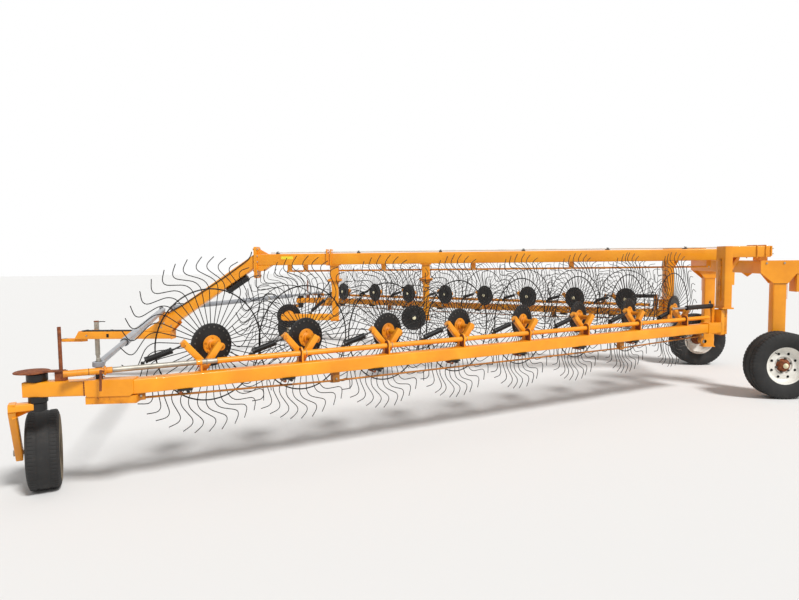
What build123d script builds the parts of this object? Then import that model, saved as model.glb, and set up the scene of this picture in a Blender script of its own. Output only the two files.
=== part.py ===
from build123d import *
import os
from math import cos, pi, radians, sin, tan

# A towed V-rake: an overhead frame on two wheels, and two arms that each carry eight finger wheels.
# Millimetres. +X to the rear, +Y to the machine's right, +Z up, ground at z = 0.
# Places along X are stations from the arm hinges' datum. The export moves the whole machine so
# that its overall length is centred on the origin.
os.makedirs("parts", exist_ok=True)

# Box sections
MAIN_BOX = 152
ARM_BOX = 102
RUN_FIT = 0.05
SEAT_GAP = 0.3
PLATE = 12

# Rear axle and rear frame
AXLE_X = 470
HALF_TRACK = 1100
TYRE_R = 380
TYRE_SIDES = 20
TYRE_W = 250
RIM_R = 214
AXLE_STUB_R = 30
FRAME_TOP = 1572
CROSS_FRONT_X = 295
LEG_X_LONG = 152
LEG_Y_WIDE = 102
LEG_TYRE_GAP = 43
TAIL_POST_Z = 1205
TAIL_POST_X = 710

# Overhead beam, gooseneck and drawbar
BEAM_FRONT_X = -5900
JOINT_PLATE_T = 20
JOINT_PLATE_W = 205
JOINT_BOTTOM = 1400
JOINT_TOP = 1825
NECK_FOOT_X = -7190
DRAWBAR_Z = 630
DRAWBAR_H = 102
DRAWBAR_REAR_X = -7105
NECK_FOOT_UP = 85
DRAWBAR_FRONT_X = -8470
TONGUE_L = 240
HITCH_PIN_BACK = 55
HITCH_BORE_R = 14
HITCH_BAR_T = 38
TONGUE_LAP = 140

# Parking jack
JACK_BACK = 190
JACK_Y = 150
JACK_TUBE_R = 32
JACK_TUBE_Z0 = 320
JACK_TUBE_Z1 = 800
JACK_LEG_R = 25
JACK_LEG_Z1 = 490
JACK_FOOT_R = 80
JACK_FOOT_T = 10

# Truss rod under the overhead beam
TRUSS_Z = 1490
TRUSS_R = 12
TRUSS_FRONT_X = -5450
TRUSS_REAR_X = 118
TRUSS_PAST_END = 40
TRUSS_STANDOFF_X = [-5230, -4170, -2960, -1660]

# Pipes along the overhead beam, and the oil reservoir under the gooseneck
LINE_R = 10
LINE_LIFT = 8
LINE_Y = [-45, -15]
LINE_FRONT_X = -5690
LINE_REAR_X = 250
LINE_CLAMP_X = [-5600, -4500, -3400, -2300, -1200, -200]
RESERVOIR_R = 50
RESERVOIR_X = (-6400, -6080)

# Centre rake mounts, under the overhead beam
POST_X = [-4834, -3598]
POST_BOX = 110
POST_FLANGE_Z = 1362
KICKER_HUB_X = [-5527, -3763]
KICKER_HUB_Y = [200, -200]
KICKER_HUB_Z = 860
KICKER_TURN = 12
KICKER_RAM_R = 22
KICKER_RAM_LOW = (-5180, 930)
KICKER_RAM_HIGH = (-4915, 1150)

# Hinge columns
HINGE_X = -80
HINGE_Y = 842
COLUMN_X_LONG = 90
COLUMN_Y_WIDE = 220
COLUMN_BOTTOM = 1010
STUB_BOTTOM = 1612
STUB_TOP = 1745
STUB_REAR_X = 400
HINGE_PIN_R = 25
HINGE_LOW_Z = 708

# Arms, in the arm's own frame: S along the arm from its hinge, T inboard of its centre line
ARM_ANGLE = 30.9
ARM_BOTTOM = 745
ARM_START_S = 95
COLLAR_L = 230
CLAMP_DROP = 34
KINK_S = 6450
KINK_ANGLE = 23
NOSE_L = 690
KINGPIN_L = 613
KINGPIN_BOSS_R = 52
KINGPIN_BOSS_UP = 33
KINGPIN_BOSS_DOWN = 40
DISC_POST_L = 455
TOP_DISC_L = 645
TOP_DISC_R = 112
TOP_DISC_Z = 907
TOP_DISC_T = 12
SLEEVE_L = 285
SLEEVE_WALL = 6
STATION_FIRST_S = 650
STATION_PITCH = 762
STATION_COUNT = 8

# Finger wheels
WHEEL_ANGLE = 46.0
HUB_BACK_S = 132
HUB_IN_T = 272
HUB_Z = 1004
TINE_COUNT = 40
TINE_WIRE = 7
TINE_TIP_R = 680
TINE_TIP_TURN = 14
DISC_R = 166
FLANGE_R = 74
BOSS_R = 36
BOSS_OUT = 42
BOSS_IN = 28
STUB_R = 22

# Wheel cranks and the lift pipe
CRANK_BOX = 54
CRANK_T = 105
CRANK_TOP_Z = 1044
CRANK_PIVOT_Z = 800
CRANK_PIVOT_R = 34
CRANK_REAR_SPREAD = 169
CRANK_FRONT_SPREAD = 105
CRANK_FRONT_UP = 30
PIPE_R = 22
PIPE_T = 24
PIPE_Z = 915
PIPE_END_S = 230
PIPE_PAST_KINK = 180
GUIDE_BACK = 8
CLAMP_AHEAD = 120
CLAMP_L = 100
GUIDE_T = 14
GUIDE_WIDE = 76
SPRING_T = 70
SPRING_R = 24
SPRING_FRONT = (380, 947)
SPRING_REAR = (184, 1009)
LIFT_RAM_Z = 1045
LIFT_RAM_R = 28
LIFT_ROD_R = 12
LIFT_RAM_S = (170, 620, 870)
LUG_T = 20
ARM_TRUSS_R = 8
ARM_TRUSS = [(6390, 706), (4940, 672), (1700, 672), (400, 706)]

# Castors
CASTOR_R = 285
CASTOR_W = 215
CASTOR_RIM_R = 152
CASTOR_TRAIL = 320
CASTOR_HEADING = 120
CASTOR_PIN_R = 24
CASTOR_AXLE_R = 16
CASTOR_SIDE_GAP = 28

# Opening rams
RAM_BASE_X = -7177
RAM_BASE_Y = 150
RAM_BASE_Z = 985
RAM_EYE_S = 6640
RAM_EYE_T = 95
RAM_EYE_Z = 952
BARREL_L = 3150
BARREL_R = 38
OPEN_ROD_R = 24
OPEN_ROD_IN = 2900
EYE_PIN_R = 15
EYE_BORE_R = 24
BASE_PIN_R = 14

HITCH_FRONT_X = DRAWBAR_FRONT_X - TONGUE_L
HITCH_PIN_X = HITCH_FRONT_X + HITCH_PIN_BACK
HITCH_Z = DRAWBAR_Z - DRAWBAR_H / 2 - HITCH_BAR_T / 2
JACK_X = DRAWBAR_FRONT_X + JACK_BACK
LEG_INNER_Y = HALF_TRACK - TYRE_W / 2 - LEG_TYRE_GAP - LEG_Y_WIDE
MID_X = (HITCH_FRONT_X + AXLE_X + TYRE_R) / 2
ARM_TOP = ARM_BOTTOM + ARM_BOX
ARM_MID_Z = ARM_BOTTOM + ARM_BOX / 2
BEAM_BOTTOM = FRAME_TOP
BEAM_TOP = BEAM_BOTTOM + MAIN_BOX
LEFT = Pos(HINGE_X, -HINGE_Y, 0) * Rot(0, 0, 180 + ARM_ANGLE)


def box(x0, x1, y0, y1, z0, z1):
    """A block between two corners."""
    size = (abs(x1 - x0), abs(y1 - y0), abs(z1 - z0))
    return Pos((x0 + x1) / 2, (y0 + y1) / 2, (z0 + z1) / 2) * Box(*size)


def across(start, end):
    """A plane at the start, square to the line from start to end, and the line's length."""
    a = Vector(*start)
    run = Vector(*end) - a
    side = Vector(0, 0, 1).cross(run)
    if side.length < 1e-6:
        side = Vector(1, 0, 0)
    return Plane(origin=a, x_dir=side, z_dir=run), run.length


def bar(start, end, wide, high):
    """A straight box section between two points."""
    plane, length = across(start, end)
    return extrude(plane * Rectangle(wide, high), amount=length)


def rod(start, end, radius, sides=12):
    """A straight round bar between two points, drawn with a few flat sides."""
    plane, length = across(start, end)
    return extrude(plane * RegularPolygon(radius, sides), amount=length)


def bore(start, end, radius, sides=12):
    """The space of a hole whose flats lie at the radius, so that a bar of that radius turns in it."""
    return rod(start, end, radius / cos(pi / sides), sides)


def slide(start, end, radius, sides=12):
    """The space of a hole in which a bar of that radius slides or rests, flat beside flat."""
    return rod(start, end, radius + SEAT_GAP / cos(pi / sides), sides)


def sleeve(start, end, radius, held, sides=12):
    """A straight round tube in which a bar of the held radius slides."""
    return rod(start, end, radius, sides) - slide(start, end, held, sides)


def plate(points, plane, thickness):
    """A flat plate cut to an outline, half its thickness on each side of the plane."""
    face = make_face(Polyline(*points, close=True))
    return extrude(plane * face, amount=thickness / 2, both=True)


def save(name, shape):
    """Writes one node, moved so that the machine is centred on the origin."""
    export_step(Pos(-MID_X, 0, 0) * shape, f"parts/{name}.step")


def save_both(name, shape):
    """Writes the left arm's node, and the right arm's as its mirror image."""
    left = LEFT * shape
    save(f"left_{name}", left)
    save(f"right_{name}", mirror(left, about=Plane.XZ))


def save_sides(name, shape):
    """Writes a node of the machine's left side, and its mirror image."""
    save(f"left_{name}", shape)
    save(f"right_{name}", mirror(shape, about=Plane.XZ))


def on_nose(along, inboard, z):
    """A point beside the kinked nose of an arm."""
    turn = radians(KINK_ANGLE)
    s = KINK_S + along * cos(turn) - inboard * sin(turn)
    t = along * sin(turn) + inboard * cos(turn)
    return (s, -t, z)


def ring(profile, sides):
    """A ring about the Y axis with flat sides, from a closed outline of (radius, y) points."""
    faces = []
    for i in range(sides):
        rows = []
        for turn in (2 * pi * i / sides, 2 * pi * (i + 1) / sides):
            rows.append([Vector(r * cos(turn), y, r * sin(turn)) for r, y in profile])
        for j in range(len(profile)):
            k = (j + 1) % len(profile)
            faces.append(Face(Wire.make_polygon([rows[0][j], rows[0][k], rows[1][k], rows[1][j]])))
    return Solid(Shell(faces))


def tyre(radius, width, rim_radius, shoulder, bead):
    """A tyre about the Y axis: tread, sloped shoulders, bulging walls and beads."""
    half = width / 2
    wall_r = radius * 0.45 + rim_radius * 0.55
    profile = [
        (rim_radius, -bead), (wall_r, -half), (radius - shoulder, -half + 6), (radius, -half + shoulder),
        (radius, half - shoulder), (radius - shoulder, half - 6), (wall_r, half), (rim_radius, bead),
    ]
    return ring(profile, TYRE_SIDES)


def polar(radius, side, turn, y):
    """A point beside a radius about the Y axis."""
    return Vector(radius * cos(turn) - side * sin(turn), y, radius * sin(turn) + side * cos(turn))


def finger_wheel():
    """Disc, hub and a crown of slanted tines about the Y axis, outboard side towards +Y."""
    half = TINE_WIRE / 2
    lean = -radians(TINE_TIP_TURN)
    # Each tine has a flat back and a ridge in front, and runs to a point
    back, front, faces = [], [], []
    for i in range(TINE_COUNT):
        turn = 2 * pi * i / TINE_COUNT
        back += [polar(DISC_R, -half, turn, -half), polar(TINE_TIP_R, 0, turn + lean, -half)]
        back += [polar(DISC_R, half, turn, -half)]
        front.append(polar(DISC_R, 0, turn, half))
    for i in range(TINE_COUNT):
        right, tip, left = back[3 * i:3 * i + 3]
        faces += [[right, tip, front[i]], [tip, left, front[i]]]
        faces += [[left, back[(3 * i + 3) % len(back)], front[(i + 1) % TINE_COUNT], front[i]]]
    crown = Solid(Shell([Face(Wire.make_polygon(points)) for points in faces + [back, front]]))
    hub = rod((0, 0, 0), (0, half + 8, 0), FLANGE_R, 8)
    hub += rod((0, half, 0), (0, BOSS_OUT, 0), BOSS_R, 8)
    cap = rod((0, 0, 0), (0, -BOSS_IN, 0), BOSS_R, 6)
    return crown + hub + cap


def drawbar():
    """The tongue, its box beam and the foot plates under the gooseneck."""
    beam = box(DRAWBAR_FRONT_X, DRAWBAR_REAR_X, -MAIN_BOX / 2, MAIN_BOX / 2, DRAWBAR_Z - DRAWBAR_H / 2,
               DRAWBAR_Z + DRAWBAR_H / 2)
    tongue = box(HITCH_FRONT_X, DRAWBAR_FRONT_X + TONGUE_LAP, -50, 50, HITCH_Z - HITCH_BAR_T / 2, HITCH_Z + HITCH_BAR_T / 2)
    hole = Pos(HITCH_PIN_X, 0, HITCH_Z) * Cylinder(HITCH_BORE_R, 2 * HITCH_BAR_T)
    return beam + tongue - hole


def gooseneck():
    """The sloped box beam, with the upright foot that carries the opening rams."""
    foot_top = DRAWBAR_Z + DRAWBAR_H / 2
    rear_x = BEAM_FRONT_X - JOINT_PLATE_T
    foot = box(NECK_FOOT_X - 75, NECK_FOOT_X + 75, -60, 60, foot_top, RAM_BASE_Z - 45)
    slope = bar(*neck_line(), MAIN_BOX, MAIN_BOX)
    slope &= box(NECK_FOOT_X - MAIN_BOX, rear_x, -MAIN_BOX, MAIN_BOX, foot_top, JOINT_TOP + MAIN_BOX)
    lug = box(RAM_BASE_X - 45, RAM_BASE_X + 45, -RAM_BASE_Y - 40, RAM_BASE_Y + 40, RAM_BASE_Z - 68, RAM_BASE_Z - 45)
    for y in (-RAM_BASE_Y, RAM_BASE_Y):
        lug += rod((RAM_BASE_X, y, RAM_BASE_Z - 50), (RAM_BASE_X, y, RAM_BASE_Z + 34), BASE_PIN_R)
        lug += rod((RAM_BASE_X, y, RAM_BASE_Z - 50), (RAM_BASE_X, y, RAM_BASE_Z - 22 - SEAT_GAP), BASE_PIN_R + 8)
    return foot + slope + lug


def neck_line():
    """The gooseneck's middle line: its low and high end."""
    rise = JOINT_BOTTOM + (BEAM_TOP - JOINT_BOTTOM) * 0.55
    low = Vector(NECK_FOOT_X - 40, 0, DRAWBAR_Z + DRAWBAR_H / 2 + NECK_FOOT_UP)
    return low, Vector(BEAM_FRONT_X - JOINT_PLATE_T + 60, 0, rise + 40)


def reservoir():
    """The black tube along the gooseneck's underside."""
    low, high = neck_line()
    run = (high - low).normalized()
    down = Vector(run.Z, 0, -run.X) * (MAIN_BOX / 2 + SEAT_GAP + RESERVOIR_R)
    ends = [low + run * ((x - low.X) / run.X) + down for x in RESERVOIR_X]
    return rod(*ends, RESERVOIR_R)


def hydraulic_pipes():
    """Two pipes in clamps on top of the overhead beam."""
    low = BEAM_TOP + SEAT_GAP
    z = low + LINE_LIFT + LINE_R
    solids = [rod((LINE_FRONT_X, y, z), (LINE_REAR_X, y, z), LINE_R, 6) for y in LINE_Y]
    for x in LINE_CLAMP_X:
        solids.append(box(x - 20, x + 20, LINE_Y[0] - 20, LINE_Y[1] + 20, low,
                          z - LINE_R * cos(pi / 6) - SEAT_GAP))
    return Compound(children=solids)


def kicker_ram():
    """The black ram between the front centre mount's arm and its post."""
    (low_x, low_z), (high_x, high_z) = KICKER_RAM_LOW, KICKER_RAM_HIGH
    arm_top = KICKER_HUB_Z + 44 + SEAT_GAP
    post_face = POST_X[0] - POST_BOX / 2 - SEAT_GAP
    ram = rod((low_x, 0, low_z), (high_x, 0, high_z), KICKER_RAM_R, 8)
    ram += box(low_x - 20, low_x + 20, -LUG_T / 2, LUG_T / 2, arm_top, low_z + 10)
    return ram + box(high_x - 5, post_face, -LUG_T / 2, LUG_T / 2, high_z - 25, high_z + 25)


def write_frame():
    """The fixed frame, from the hitch to the rear wheels."""
    save("drawbar", drawbar())
    save("gooseneck", gooseneck())
    joint = box(BEAM_FRONT_X - JOINT_PLATE_T, BEAM_FRONT_X + JOINT_PLATE_T, -JOINT_PLATE_W / 2, JOINT_PLATE_W / 2,
                JOINT_BOTTOM, JOINT_TOP)
    corner_x = BEAM_FRONT_X + JOINT_PLATE_T
    gusset = [(corner_x - 5, BEAM_BOTTOM), (corner_x + 180, BEAM_BOTTOM), (corner_x + 70, BEAM_BOTTOM - 76),
              (corner_x - 5, BEAM_BOTTOM - 76)]
    joint += plate(gusset, Plane.XZ, MAIN_BOX)
    save("beam_joint", joint)
    save("hydraulic_pipes", hydraulic_pipes())
    save("kicker_hydraulics", Compound(children=[kicker_ram(), reservoir()]))
    beam_rear = CROSS_FRONT_X + MAIN_BOX
    beam = box(BEAM_FRONT_X + JOINT_PLATE_T, beam_rear, -MAIN_BOX / 2, MAIN_BOX / 2, BEAM_BOTTOM, BEAM_TOP)
    save("main_beam", beam)
    rod_ends = ((TRUSS_FRONT_X - TRUSS_PAST_END, 0, TRUSS_Z), (TRUSS_REAR_X + TRUSS_PAST_END, 0, TRUSS_Z))
    hole = slide(*rod_ends, TRUSS_R, 6)
    standoffs = [rod(*rod_ends, TRUSS_R, 6)]
    for x in TRUSS_STANDOFF_X + [TRUSS_FRONT_X, TRUSS_REAR_X]:
        standoffs.append(box(x - 30, x + 30, -20, 20, TRUSS_Z - 25, BEAM_BOTTOM) - hole)
    save("truss_rod", Compound(children=standoffs))
    for name, x, hub_x, hub_y in zip(["front", "rear"], POST_X, KICKER_HUB_X, KICKER_HUB_Y):
        hub = Vector(hub_x, hub_y, KICKER_HUB_Z)
        save(f"{name}_centre_mount", centre_mount(x, hub) - hole)
        facing = KICKER_TURN if hub_y < 0 else KICKER_TURN + 180
        save(f"{name}_centre_wheel", Pos(*hub) * Rot(0, 0, facing) * finger_wheel())


def centre_mount(x, hub):
    """A drop post with its flange, and the arm that holds a centre wheel's axle."""
    half = POST_BOX / 2
    low = hub.Z - 44
    post = box(x - half, x + half, -half, half, low, BEAM_BOTTOM)
    post += box(x - half - 35, x + half + 35, -half - 20, half + 20, POST_FLANGE_Z - 12, POST_FLANGE_Z + 12)
    post += box(hub.X - 50, x, -half + 5, half - 5, low, hub.Z + 44)
    turn = radians(KICKER_TURN)
    outward = Vector(sin(turn), -cos(turn), 0) if hub.Y < 0 else Vector(-sin(turn), cos(turn), 0)
    root = hub - outward * (abs(hub.Y) / cos(turn))
    post += rod(root, hub - outward * (BOSS_OUT + SEAT_GAP), STUB_R, 8)
    return post


def write_rear():
    """The rear frame, the hinge columns, the legs and the rear wheels."""
    outer_y = LEG_INNER_Y + LEG_Y_WIDE
    low = FRAME_TOP - MAIN_BOX
    rear_x = AXLE_X + TYRE_R
    cross_rear_x = CROSS_FRONT_X + MAIN_BOX
    save("cross_beam", box(CROSS_FRONT_X, cross_rear_x, -outer_y, outer_y, low, FRAME_TOP))
    y0 = MAIN_BOX - outer_y
    leg_x0 = cross_rear_x + 5
    leg_x1 = leg_x0 + LEG_X_LONG
    tail = box(cross_rear_x, rear_x, -outer_y, y0, low, FRAME_TOP)
    tail += box(TAIL_POST_X, rear_x, -outer_y, y0, TAIL_POST_Z, FRAME_TOP)
    leg = tail + box(leg_x0, leg_x1, -outer_y, -LEG_INNER_Y, TYRE_R - 70, low)
    gusset = [(CROSS_FRONT_X, FRAME_TOP), (rear_x, FRAME_TOP), (rear_x, low), (leg_x1 + 100, low),
              (leg_x1 + 5, low - 115), (leg_x0 - 5, low - 115), (CROSS_FRONT_X, low + 10)]
    leg += plate(gusset, Plane.XZ.offset(outer_y + PLATE / 2), PLATE)
    leg += rod((AXLE_X, -LEG_INNER_Y, TYRE_R), (AXLE_X, -HALF_TRACK - 60, TYRE_R), AXLE_STUB_R)
    save_sides("wheel_leg", leg)
    centre_y = -HINGE_Y
    half = COLUMN_Y_WIDE / 2
    x0 = HINGE_X - COLUMN_X_LONG / 2 + 8
    x1 = x0 + COLUMN_X_LONG
    column = box(x0, x1, centre_y - half, centre_y + half, COLUMN_BOTTOM, STUB_TOP)
    column += box(x0, STUB_REAR_X, centre_y - half, centre_y + half, STUB_BOTTOM, STUB_TOP)
    column += box(CROSS_FRONT_X, STUB_REAR_X - 20, centre_y - half + 30, centre_y + half - 30, FRAME_TOP, STUB_BOTTOM)
    column += bar((x1 - 5, centre_y, 1440), (x1 + 100, centre_y, STUB_BOTTOM + 5), 80, 40)
    column += rod((HINGE_X, centre_y, COLUMN_BOTTOM + 5), (HINGE_X, centre_y, HINGE_LOW_Z - 20), HINGE_PIN_R)
    column += rod((HINGE_X, centre_y, HINGE_LOW_Z - 20), (HINGE_X, centre_y, HINGE_LOW_Z - SEAT_GAP), HINGE_PIN_R + 12)
    save_sides("hinge_column", column)
    at = Pos(AXLE_X, -HALF_TRACK, TYRE_R)
    save_sides("rear_tyre", at * tyre(TYRE_R, TYRE_W, RIM_R, 32, 95))
    save_sides("rear_rim", at * rear_rim())


def rear_rim():
    """A dished wheel: barrel with flanges, disc set inboard of the outer flange, and hub."""
    half = 95
    seat = RIM_R - 14
    hole = AXLE_STUB_R + 1
    return ring([(hole, -32), (seat, -32), (seat, -half), (RIM_R, -half), (RIM_R, half), (seat, half), (seat, -18),
                 (hole, 78)], TYRE_SIDES)


def write_jack():
    """The parking jack beside the drawbar."""
    bracket = box(JACK_X - 40, JACK_X + 40, MAIN_BOX / 2, JACK_Y - JACK_TUBE_R + 8, DRAWBAR_Z - 60, DRAWBAR_Z + 60)
    low, high = (JACK_X, JACK_Y, JACK_TUBE_Z0), (JACK_X, JACK_Y, JACK_TUBE_Z1)
    outer = sleeve(low, high, JACK_TUBE_R, JACK_LEG_R)
    cap = rod(high, (JACK_X, JACK_Y, JACK_TUBE_Z1 + 12), JACK_TUBE_R + 4)
    keep_out = slide(low, high, JACK_LEG_R)
    save("jack_tube", outer + cap + (bracket - keep_out))
    leg = rod((JACK_X, JACK_Y, JACK_FOOT_T), (JACK_X, JACK_Y, JACK_LEG_Z1), JACK_LEG_R)
    leg += rod((JACK_X, JACK_Y, 0), (JACK_X, JACK_Y, JACK_FOOT_T), JACK_FOOT_R)
    save("jack_leg", leg)


def stations():
    """The crank stations along an arm, from the rear."""
    return [STATION_FIRST_S + STATION_PITCH * i for i in range(STATION_COUNT)]


def arm_beam():
    """The arm: box beam, kinked nose, sleeve, hinge yoke and kingpin boss."""
    half = ARM_BOX / 2
    beam = box(ARM_START_S, KINK_S, -half, half, ARM_BOTTOM, ARM_TOP)
    nose = bar(on_nose(-30, 0, ARM_MID_Z), on_nose(NOSE_L, 0, ARM_MID_Z), ARM_BOX, ARM_BOX)
    sleeve_box = ARM_BOX + 2 * SLEEVE_WALL
    sleeve_part = bar(on_nose(0, 0, ARM_MID_Z), on_nose(SLEEVE_L, 0, ARM_MID_Z), sleeve_box, sleeve_box)
    boss_top = ARM_TOP + KINGPIN_BOSS_UP
    boss = rod(on_nose(KINGPIN_L, 0, ARM_BOTTOM - KINGPIN_BOSS_DOWN), on_nose(KINGPIN_L, 0, boss_top), KINGPIN_BOSS_R)
    disc = rod(on_nose(TOP_DISC_L, 0, TOP_DISC_Z), on_nose(TOP_DISC_L, 0, TOP_DISC_Z + TOP_DISC_T), TOP_DISC_R)
    disc_post = bar(on_nose(DISC_POST_L, 0, ARM_TOP), on_nose(DISC_POST_L, 0, TOP_DISC_Z + TOP_DISC_T), 70, 40)
    disc_arm = bar(on_nose(DISC_POST_L - 20, 0, TOP_DISC_Z + 6), on_nose(TOP_DISC_L, 0, TOP_DISC_Z + 6), 60, TOP_DISC_T)
    hole = bore(on_nose(KINGPIN_L, 0, ARM_BOTTOM - 60), on_nose(KINGPIN_L, 0, ARM_TOP + 80), CASTOR_PIN_R + RUN_FIT)
    body = beam + nose + sleeve_part + boss - hole + disc + disc_post + disc_arm
    collar = box(ARM_START_S, ARM_START_S + COLLAR_L, -half - 8, half + 8, ARM_BOTTOM - 8, ARM_TOP + 8)
    yoke = box(45, ARM_START_S + 10, -half - 8, half + 8, HINGE_LOW_Z, COLUMN_BOTTOM - 8)
    yoke += rod((0, 0, HINGE_LOW_Z), (0, 0, COLUMN_BOTTOM - 8), 52)
    pin_hole = bore((0, 0, HINGE_LOW_Z - 5), (0, 0, COLUMN_BOTTOM + 5), HINGE_PIN_R + RUN_FIT)
    body += collar + yoke - pin_hole
    for s in stations():
        clamp_s = s + CLAMP_AHEAD
        body += box(clamp_s - CLAMP_L / 2, clamp_s + CLAMP_L / 2, -half - 10, half + 10, ARM_BOTTOM - CLAMP_DROP, ARM_BOTTOM)
        at = s - GUIDE_BACK
        seat = PIPE_Z - PIPE_R - SEAT_GAP
        body += box(at - GUIDE_T, at + GUIDE_T, -half, -PIPE_T + GUIDE_WIDE / 2, ARM_TOP, seat)
    lug_s = LIFT_RAM_S[0] - SEAT_GAP
    body += box(lug_s - 45, lug_s, -PIPE_T - LUG_T / 2, -PIPE_T + LUG_T / 2, ARM_TOP, LIFT_RAM_Z + LIFT_RAM_R)
    ram_lug = rod((RAM_EYE_S, -RAM_EYE_T, ARM_BOTTOM + 30), (RAM_EYE_S, -RAM_EYE_T, RAM_EYE_Z + 40), EYE_PIN_R)
    body += ram_lug
    return body


def crank_set():
    """Eight V cranks: a pivot on the beam's inboard face, two legs, and the axle for a finger wheel."""
    half = ARM_BOX / 2
    turn = radians(WHEEL_ANGLE - ARM_ANGLE)
    stub_l = (HUB_IN_T - CRANK_T) / cos(turn) - BOSS_OUT - SEAT_GAP
    low = CRANK_PIVOT_Z
    top = CRANK_TOP_Z
    wide = CRANK_BOX / 2
    # V outline as (along the arm, height)
    front, rear = CRANK_FRONT_SPREAD, -CRANK_REAR_SPREAD
    front_top = top + CRANK_FRONT_UP
    legs = [(-wide, low - wide), (wide, low - wide), (front + wide, front_top - 10), (front - wide, front_top),
            (-wide / 2, low + 2 * CRANK_BOX), (rear + wide, top), (rear - wide, top - 15)]
    face = Plane(origin=(0, -CRANK_T, 0), x_dir=(1, 0, 0), z_dir=(0, -1, 0))
    shape = plate(legs, face, CRANK_BOX)
    shape += rod((0, -half, low), (0, -CRANK_T, low), CRANK_PIVOT_R, 6)
    root = Vector(-HUB_BACK_S - (HUB_IN_T - CRANK_T) * tan(turn), -CRANK_T, HUB_Z)
    axis = Vector(sin(turn), -cos(turn), 0)
    shape += rod(root, root + axis * stub_l, STUB_R, 6)
    return Compound(children=[Pos(s, 0, 0) * shape for s in stations()])


def spring_set():
    """Eight springs with their levers beside the lift pipe and their links to the cranks."""
    (front_s, front_z), (rear_s, rear_z) = SPRING_FRONT, SPRING_REAR
    front, rear = Vector(front_s, -SPRING_T, front_z), Vector(rear_s, -SPRING_T, rear_z)
    leg_face = CRANK_T - CRANK_BOX / 2 - SEAT_GAP
    block_z = CRANK_TOP_Z
    spring = rod(front, rear, SPRING_R, 6)
    spring += bar(rear, (CRANK_FRONT_SPREAD, -SPRING_T, block_z), 14, 14)
    spring += box(CRANK_FRONT_SPREAD - 14, CRANK_FRONT_SPREAD + 14, -leg_face, 16 - leg_face, block_z - 16, block_z + 16)
    spring += box(front_s - 12, front_s + 12, -SPRING_T - 8, -PIPE_T - PIPE_R - SEAT_GAP, PIPE_Z - 10, front_z)
    return Compound(children=[Pos(s, 0, 0) * spring for s in stations()])


def lift_ram():
    """The ram above the lift pipe, between the lug on the arm and the lever on the pipe."""
    base_s, gland_s, eye_s = LIFT_RAM_S
    ram = rod((base_s, -PIPE_T, LIFT_RAM_Z), (gland_s, -PIPE_T, LIFT_RAM_Z), LIFT_RAM_R, 8)
    return ram + rod((gland_s, -PIPE_T, LIFT_RAM_Z), (eye_s - SEAT_GAP, -PIPE_T, LIFT_RAM_Z), LIFT_ROD_R, 8)


def arm_truss():
    """The tie rod under the arm, over its end blocks and stand-offs."""
    points = [Vector(s, 0, z) for s, z in ARM_TRUSS]
    truss = box(points[-1].X - 30, points[-1].X + 30, -25, 25, points[-1].Z - 12, ARM_BOTTOM - SEAT_GAP)
    for point in points[:-1]:
        truss += box(point.X - 30, point.X + 30, -25, 25, point.Z - 12, ARM_BOTTOM - SEAT_GAP)
    for start, end in zip(points[:-1], points[1:]):
        truss += rod(start, end, ARM_TRUSS_R, 6)
    return truss


def castor_frame():
    """The castor's own place on the arm: trail direction along +X, axle along Y."""
    return Pos(*on_nose(KINGPIN_L, 0, 0)) * Rot(0, 0, CASTOR_HEADING - 180 - ARM_ANGLE)


def castor_yoke():
    """Kingpin, top arm, side leg and axle of one castor."""
    side = CASTOR_W / 2 + CASTOR_SIDE_GAP
    top = ARM_BOTTOM - KINGPIN_BOSS_DOWN - SEAT_GAP
    cap_z = ARM_TOP + KINGPIN_BOSS_UP + SEAT_GAP
    yoke = rod((0, 0, top - 20), (0, 0, cap_z), CASTOR_PIN_R)
    yoke += rod((0, 0, cap_z), (0, 0, cap_z + 14), KINGPIN_BOSS_R)
    yoke += bar((-45, 0, top - 30), (45, 0, top - 30), 2 * 60, 60)
    yoke += box(-45, 45, -60, side + 40, top - 60, top)
    yoke += bar((0, side + 20, top - 30), (CASTOR_TRAIL, side + 20, CASTOR_R - 30), 40, 80)
    yoke += rod((CASTOR_TRAIL, side + 20, CASTOR_R), (CASTOR_TRAIL, -CASTOR_W / 2 + 20, CASTOR_R), CASTOR_AXLE_R)
    return yoke


def castor_rim():
    """A plain steel centre for the castor's tyre."""
    half = 70
    hole = CASTOR_AXLE_R + 1
    seat = CASTOR_RIM_R - 14
    return ring([(hole, -30), (seat, -30), (seat, -half), (CASTOR_RIM_R, -half), (CASTOR_RIM_R, half), (seat, half),
                 (seat, -18), (hole, -18)], TYRE_SIDES)


def write_arms():
    """Both arms with all that they carry."""
    save_both("arm_beam", arm_beam())
    save_both("crank_set", crank_set())
    pipe = rod((PIPE_END_S, -PIPE_T, PIPE_Z), (KINK_S + PIPE_PAST_KINK, -PIPE_T, PIPE_Z), PIPE_R)
    lever_s = LIFT_RAM_S[-1]
    pipe += box(lever_s, lever_s + LUG_T, -PIPE_T - LUG_T / 2, -PIPE_T + LUG_T / 2, PIPE_Z, LIFT_RAM_Z + LUG_T)
    save_both("lift_pipe", pipe)
    save_both("spring_set", spring_set())
    save_both("lift_ram", lift_ram())
    save_both("arm_truss", arm_truss())
    place = Pos(STATION_FIRST_S - HUB_BACK_S, -HUB_IN_T, HUB_Z) * Rot(0, 0, WHEEL_ANGLE - ARM_ANGLE)
    wheel = place * finger_wheel()
    for i in range(STATION_COUNT):
        save_both(f"finger_wheel_{STATION_COUNT - i}", Pos(STATION_PITCH * i, 0, 0) * wheel)
    castor = castor_frame()
    save_both("castor_yoke", castor * castor_yoke())
    at = Pos(CASTOR_TRAIL, 0, CASTOR_R)
    save_both("castor_tyre", castor * at * tyre(CASTOR_R, CASTOR_W, CASTOR_RIM_R, 24, 80))
    save_both("castor_rim", castor * at * castor_rim())


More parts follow.
